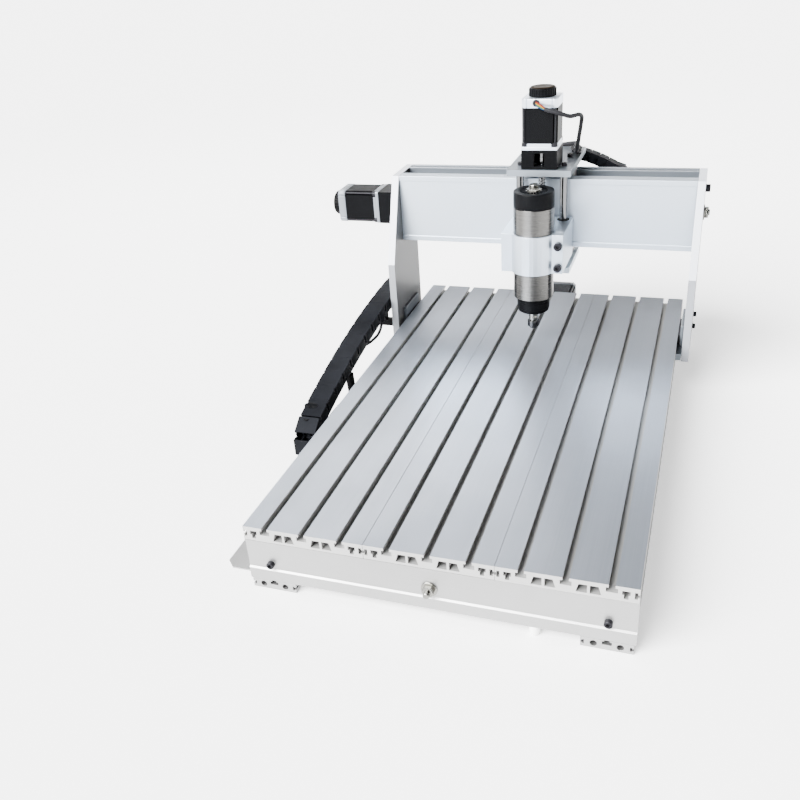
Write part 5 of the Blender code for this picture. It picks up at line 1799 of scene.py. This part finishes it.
@piece_operator
class ROUTER_OT_fasteners(bpy.types.Operator):
    """Sets the black cap screws on the beams, plates, carriage and clamp"""

    bl_idname = "router.fasteners"
    bl_label = "Cap screws"

    def execute(self, context):
        large = sizes().large_head / sizes().small_head
        rods = [middle("left_y_rod"), middle("right_y_rod")]
        front = BOX["front_beam"][0].y + 2.0 * MM
        rear = BOX["rear_beam"][1].y - 2.0 * MM
        base = [(Vector((at.x, front, at.z)), (0, -1, 0), large) for at in rods]
        base += [(Vector((at.x, rear, at.z)), (0, 1, 0), large) for at in rods]
        screw_set("base_cap_screws", base, "base")

        left, right = BOX["left_gantry_plate"][0].x, BOX["right_gantry_plate"][1].x
        upper, lower = middle("upper_x_rod"), middle("lower_x_rod")
        tall = large * LARGE_GANTRY_HEAD
        gantry = [
            (Vector((right, upper.y, upper.z)), (1, 0, 0), tall),
            (Vector((left, upper.y, upper.z)), (-1, 0, 0), tall),
            (Vector((left, lower.y, lower.z)), (-1, 0, 0), tall),
        ]
        block = BOX["right_side_block"]
        for y, z in ((block[1].y - 18 * MM, 110 * MM), (block[1].y - 48 * MM, 101 * MM)):
            gantry.append((Vector((right, y, z)), (1, 0, 0), 1.0))
            gantry.append((Vector((left, y, z)), (-1, 0, 0), 1.0))
        cross = middle("gantry_cross_plate")
        for y in (cross.y - 42 * MM, cross.y + 42 * MM):
            for x in (-1, 1):
                seat = middle("right_y_bearing" if x > 0 else "left_y_bearing").x
                at = Vector((seat, y, BOX["gantry_cross_plate"][1].z))
                gantry.append((at, (0, 0, 1), CROSS_PLATE_HEAD))
        screw_set("gantry_cap_screws", gantry, "gantry")

        top = BOX["carriage_top_plate"][1].z
        foot = BOX["carriage_bottom_plate"][0].z
        carriage = []
        for at in (middle("left_z_rod"), middle("right_z_rod")):
            for level, direction in ((top, (0, 0, 1)), (foot, (0, 0, -1))):
                carriage.append((Vector((at.x, at.y, level)), direction, 1.0))
                carriage.append((Vector((at.x, upper.y, level)), direction, large))
        screw_set("carriage_cap_screws", carriage, "x_carriage")

        low, high = BOX["spindle_clamp"]
        slide = []
        for share in (0.17, 0.73):
            level = low.z + (high.z - low.z) * share
            at = Vector((high.x - 7.5 * MM, CLAMP_FACE_Y + 0.6 * MM, level))
            slide.append((at, (0, -1, 0), large * LARGE_CLAMP_HEAD))
        screw_set("clamp_cap_screws", slide, "z_slide")
        return {"FINISHED"}


@piece_operator
class ROUTER_OT_small_parts(bpy.types.Operator):
    """Makes the seals, pads, chain support, cable and foot"""

    bl_idname = "router.small_parts"
    bl_label = "Small parts"

    def execute(self, context):
        self.seals()
        self.pads()
        self.chain_support()
        self.chain_cable()
        self.foot()
        return {"FINISHED"}

    def seal(self, radius):
        """The profile of a linear bearing's black end ring."""
        inner = radius + 0.25 * MM
        return [
            (inner, 1.0 * MM),
            (inner + 3.2 * MM, 1.0 * MM),
            (inner + 3.6 * MM, 0.6 * MM),
            (inner + 3.6 * MM, -0.2 * MM),
            (inner, -0.2 * MM),
        ]

    def seals(self):
        """Rings round the rods where they leave their blocks."""
        z_slide = {"left_z_rod": "z_slide_block", "right_z_rod": "z_slide_block"}
        y_slide = {"left_y_rod": "left_y_bearing", "right_y_rod": "right_y_bearing"}
        x_slide = {"upper_x_rod": "x_bearing_block", "lower_x_rod": "x_bearing_block"}
        for prefix, body, blocks in (
            ("z", "z_slide", z_slide),
            ("y", "gantry", y_slide),
            ("x", "x_carriage", x_slide),
        ):
            lane = AXES[prefix.upper()]
            rings = []
            for node, block in blocks.items():
                profile = self.seal(min(extent(node)) / 2)
                for face, way in zip(BOX[block], (-lane, lane)):
                    at = middle(node)
                    at += lane * (face - at).dot(lane)
                    rings.append(lathe(profile, 32, standing(at, way)))
            piece(prefix + "_bearing_seals", merge(*rings), rubber_finish(), body)

    def pads(self):
        """Black wiper pads between the side blocks and the table's edges."""
        shapes = []
        for block, edge, way in (
            (BOX["right_side_block"], BOX["table_profile_right"][1].x, 1),
            (BOX["left_side_block"], BOX["table_profile_left"][0].x, -1),
        ):
            wall = block[0].x if way > 0 else block[1].x
            near, far = sorted((edge + way * 0.4 * MM, wall - way * 0.1 * MM))
            low = (near, block[0].y + 4 * MM, block[0].z + 3 * MM)
            high = (far, block[1].y - 4 * MM, block[0].z + 20 * MM)
            shapes.append(box_shape(low, high, 0.6 * MM))
        piece("side_wiper_pads", merge(*shapes), rubber_finish(), "gantry")

    def chain_support(self):
        """The post beside the table that the drag chain's upper run passes over."""
        high = BOX["y_chain_lower"][1]
        y, foot = high.y + 1.0 * MM, 2.2 * MM
        outline = [
            (y, foot),
            (y + 18 * MM, foot),
            (y + 18 * MM, 5.0 * MM),
            (y + 10 * MM, 12.0 * MM),
            (y + 1 * MM, POST_TOP + 1.5 * MM),
            (y - 8 * MM, POST_TOP - 0.5 * MM),
            (y, 30.0 * MM),
        ]
        shape = extruded(outline, "X", high.x - 12 * MM, high.x - 0.5 * MM, 0.5 * MM)
        piece("y_chain_support_post", shape, black_finish(), "base")

    def chain_cable(self):
        """The cable beside the bracket's arm."""
        low, high = BOX["y_chain_bracket"]
        x, y, z = high.x - 12 * MM, low.y, low.z
        points = [
            (x + 2 * MM, y - 20 * MM, z + 22 * MM),
            (x + 1 * MM, y - 33 * MM, z + 17 * MM),
            (x, y - 37 * MM, z + 10 * MM),
            (x - 1 * MM, y - 49 * MM, z + 4 * MM),
            (x - 2 * MM, y - 68 * MM, z + 3.5 * MM),
            (x - 5 * MM, y - 91 * MM, z + 4.5 * MM),
            (x - 11 * MM, y - 112 * MM, z + 9 * MM),
            (x - 16 * MM, y - 126 * MM, z + 17 * MM),
        ]
        look = rubber_finish()
        cable = tube("y_chain_cable", points, CABLE_RADIUS, look, None, (), 3)
        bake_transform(cable)

    def foot(self):
        """The pale round foot under the front beam."""
        low, high = BOX["front_beam"]
        profile = [
            (6.5 * MM, low.z - 0.2 * MM),
            (6.5 * MM, 4.0 * MM),
            (5.6 * MM, 1.4 * MM),
            (3.8 * MM, 0.2 * MM),
        ]
        at = Matrix.Translation(((low.x + high.x) / 2 + 125 * MM, low.y + 6.5 * MM, 0.0))
        shape = lathe(capped(*profile), 32, at)
        piece("beam_foot", shape, foot_finish(), "base")


# ============================================================== stage
CAMERA_PLACE = Vector((0.32847, -1.21915, 0.73659))
CAMERA_AHEAD = Vector((-0.31353, 0.82034, -0.47826))
CAMERA_UP = Vector((-0.09708, 0.47332, 0.87551))
CAMERA_LENS = 39.32
FLOOR_REACH = 60.0
FLOOR_BEND = 8.0
WALL_TOP = 11.4
FLOOR_GLOW = 1.0

# Kind, place, target, strength, and a sun's angle in degrees or a softbox's width.
LIGHTS = {
    "key": ("SUN", (-1.7, -2.4, 2.2), (0.0, 0.0, 0.0), 30.0, 50.0),
    "softbox": ("AREA", (-1.0, 1.75, 1.75), (0.02, -0.2, 0.1), 37.0, 1.4),
}
SKY_COLOUR = (1.0, 0.97, 0.93, 1.0)
SKY_STRENGTH = 0.12


@piece_operator
class ROUTER_OT_stage(bpy.types.Operator):
    """Sets the pale floor, the soft lights and the camera"""

    bl_idname = "router.stage"
    bl_label = "Stage"

    def execute(self, context):
        self.floor()
        self.lights()
        self.camera(context.scene)
        return {"FINISHED"}

    def floor(self):
        """A round pale floor that curves up into a low wall far behind everything."""
        shape = bmesh.new()
        inset = FLOOR_REACH - FLOOR_BEND
        profile = [(inset + u, FLOOR_BEND + v) for u, v in arc(0, 0, FLOOR_BEND, -90, 0, 8)]
        profile.append((FLOOR_REACH, WALL_TOP))
        rows = [ring_points(radius, height, 96) for radius, height in profile]
        rows = [[shape.verts.new(point) for point in row] for row in rows]
        shape.faces.new(rows[0])
        for inner, outer in zip(rows, rows[1:]):
            strip(shape, outer, inner)
        floor = shaped("floor", bpy.data.meshes.new("floor"))
        shape.to_mesh(floor.data)
        shape.free()
        floor.data.shade_smooth()

        def recipe(board):
            cloud = board.noise(1.2, 2.0, 0.5)
            base = colours().floor
            return {
                "Base Color": board.mix(cloud, shade(base, 0.99), base),
                "Roughness": 0.8,
                "Specular IOR Level": 0.2,
                "Emission Color": (1.0, 1.0, 1.0, 1.0),
                "Emission Strength": FLOOR_GLOW,
            }

        floor.data.materials.append(finish("pale_floor", recipe))

    def lights(self):
        """The dim sky, the wide sun in front and the softbox behind the gantry."""
        world = bpy.data.worlds.new("studio")
        bpy.context.scene.world = world
        world.use_nodes = True
        board = Board(world.node_tree)
        sockets = {"Color": SKY_COLOUR, "Strength": SKY_STRENGTH}
        sky = board.node("ShaderNodeBackground", {}, sockets)
        board.node("ShaderNodeOutputWorld", {}, {"Surface": sky.outputs[0]})
        for name, settings in LIGHTS.items():
            self.lamp(name, *settings)

    def lamp(self, name, kind, place, target, strength, spread):
        """A light at place facing target; spread is a sun's angle or a softbox's width."""
        data = bpy.data.lights.new(name, kind)
        data.energy = strength
        if kind == "SUN":
            data.angle = math.radians(spread)
        else:
            data.shape = "RECTANGLE"
            data.size, data.size_y = spread, spread * 0.6
        light = bpy.data.objects.new(name, data)
        light.location = place
        toward = Vector(place) - Vector(target)
        light.rotation_euler = toward.to_track_quat("Z", "Y").to_euler()
        bpy.context.scene.collection.objects.link(light)

    def camera(self, scene):
        """The camera, looking along CAMERA_AHEAD."""
        data = bpy.data.cameras.new("camera")
        data.lens = CAMERA_LENS
        data.sensor_width = 36.0
        data.clip_start = 0.05
        camera = bpy.data.objects.new("camera", data)
        right = CAMERA_AHEAD.cross(CAMERA_UP).normalized()
        up = right.cross(CAMERA_AHEAD).normalized()
        turn = Matrix((right, up, -CAMERA_AHEAD.normalized())).transposed()
        camera.matrix_world = Matrix.Translation(CAMERA_PLACE) @ turn.to_4x4()
        scene.collection.objects.link(camera)
        scene.camera = camera


# ============================================================== panel and main
class ROUTER_PT_panel(bpy.types.Panel):
    """Lists the router's sizes, colours and steps"""

    bl_label = "Router"
    bl_idname = "ROUTER_PT_panel"
    bl_space_type = "VIEW_3D"
    bl_region_type = "UI"
    bl_category = "Router"

    def draw(self, context):
        for group in (context.scene.router_sizes, context.scene.router_colours):
            for name in group.__annotations__:
                self.layout.prop(group, name)
        for step in STEPS:
            self.layout.operator(step.bl_idname)


CLASSES = (RouterSizes, RouterColours, *STEPS, ROUTER_PT_panel)


def register():
    for cls in CLASSES:
        bpy.utils.register_class(cls)
    bpy.types.Scene.router_sizes = bpy.props.PointerProperty(type=RouterSizes)
    bpy.types.Scene.router_colours = bpy.props.PointerProperty(type=RouterColours)


def unregister():
    del bpy.types.Scene.router_colours
    del bpy.types.Scene.router_sizes
    for cls in reversed(CLASSES):
        bpy.utils.unregister_class(cls)


def main():
    register()
    for step in STEPS:
        group, name = step.bl_idname.split(".")
        getattr(getattr(bpy.ops, group), name)()


if __name__ == "__main__":
    main()
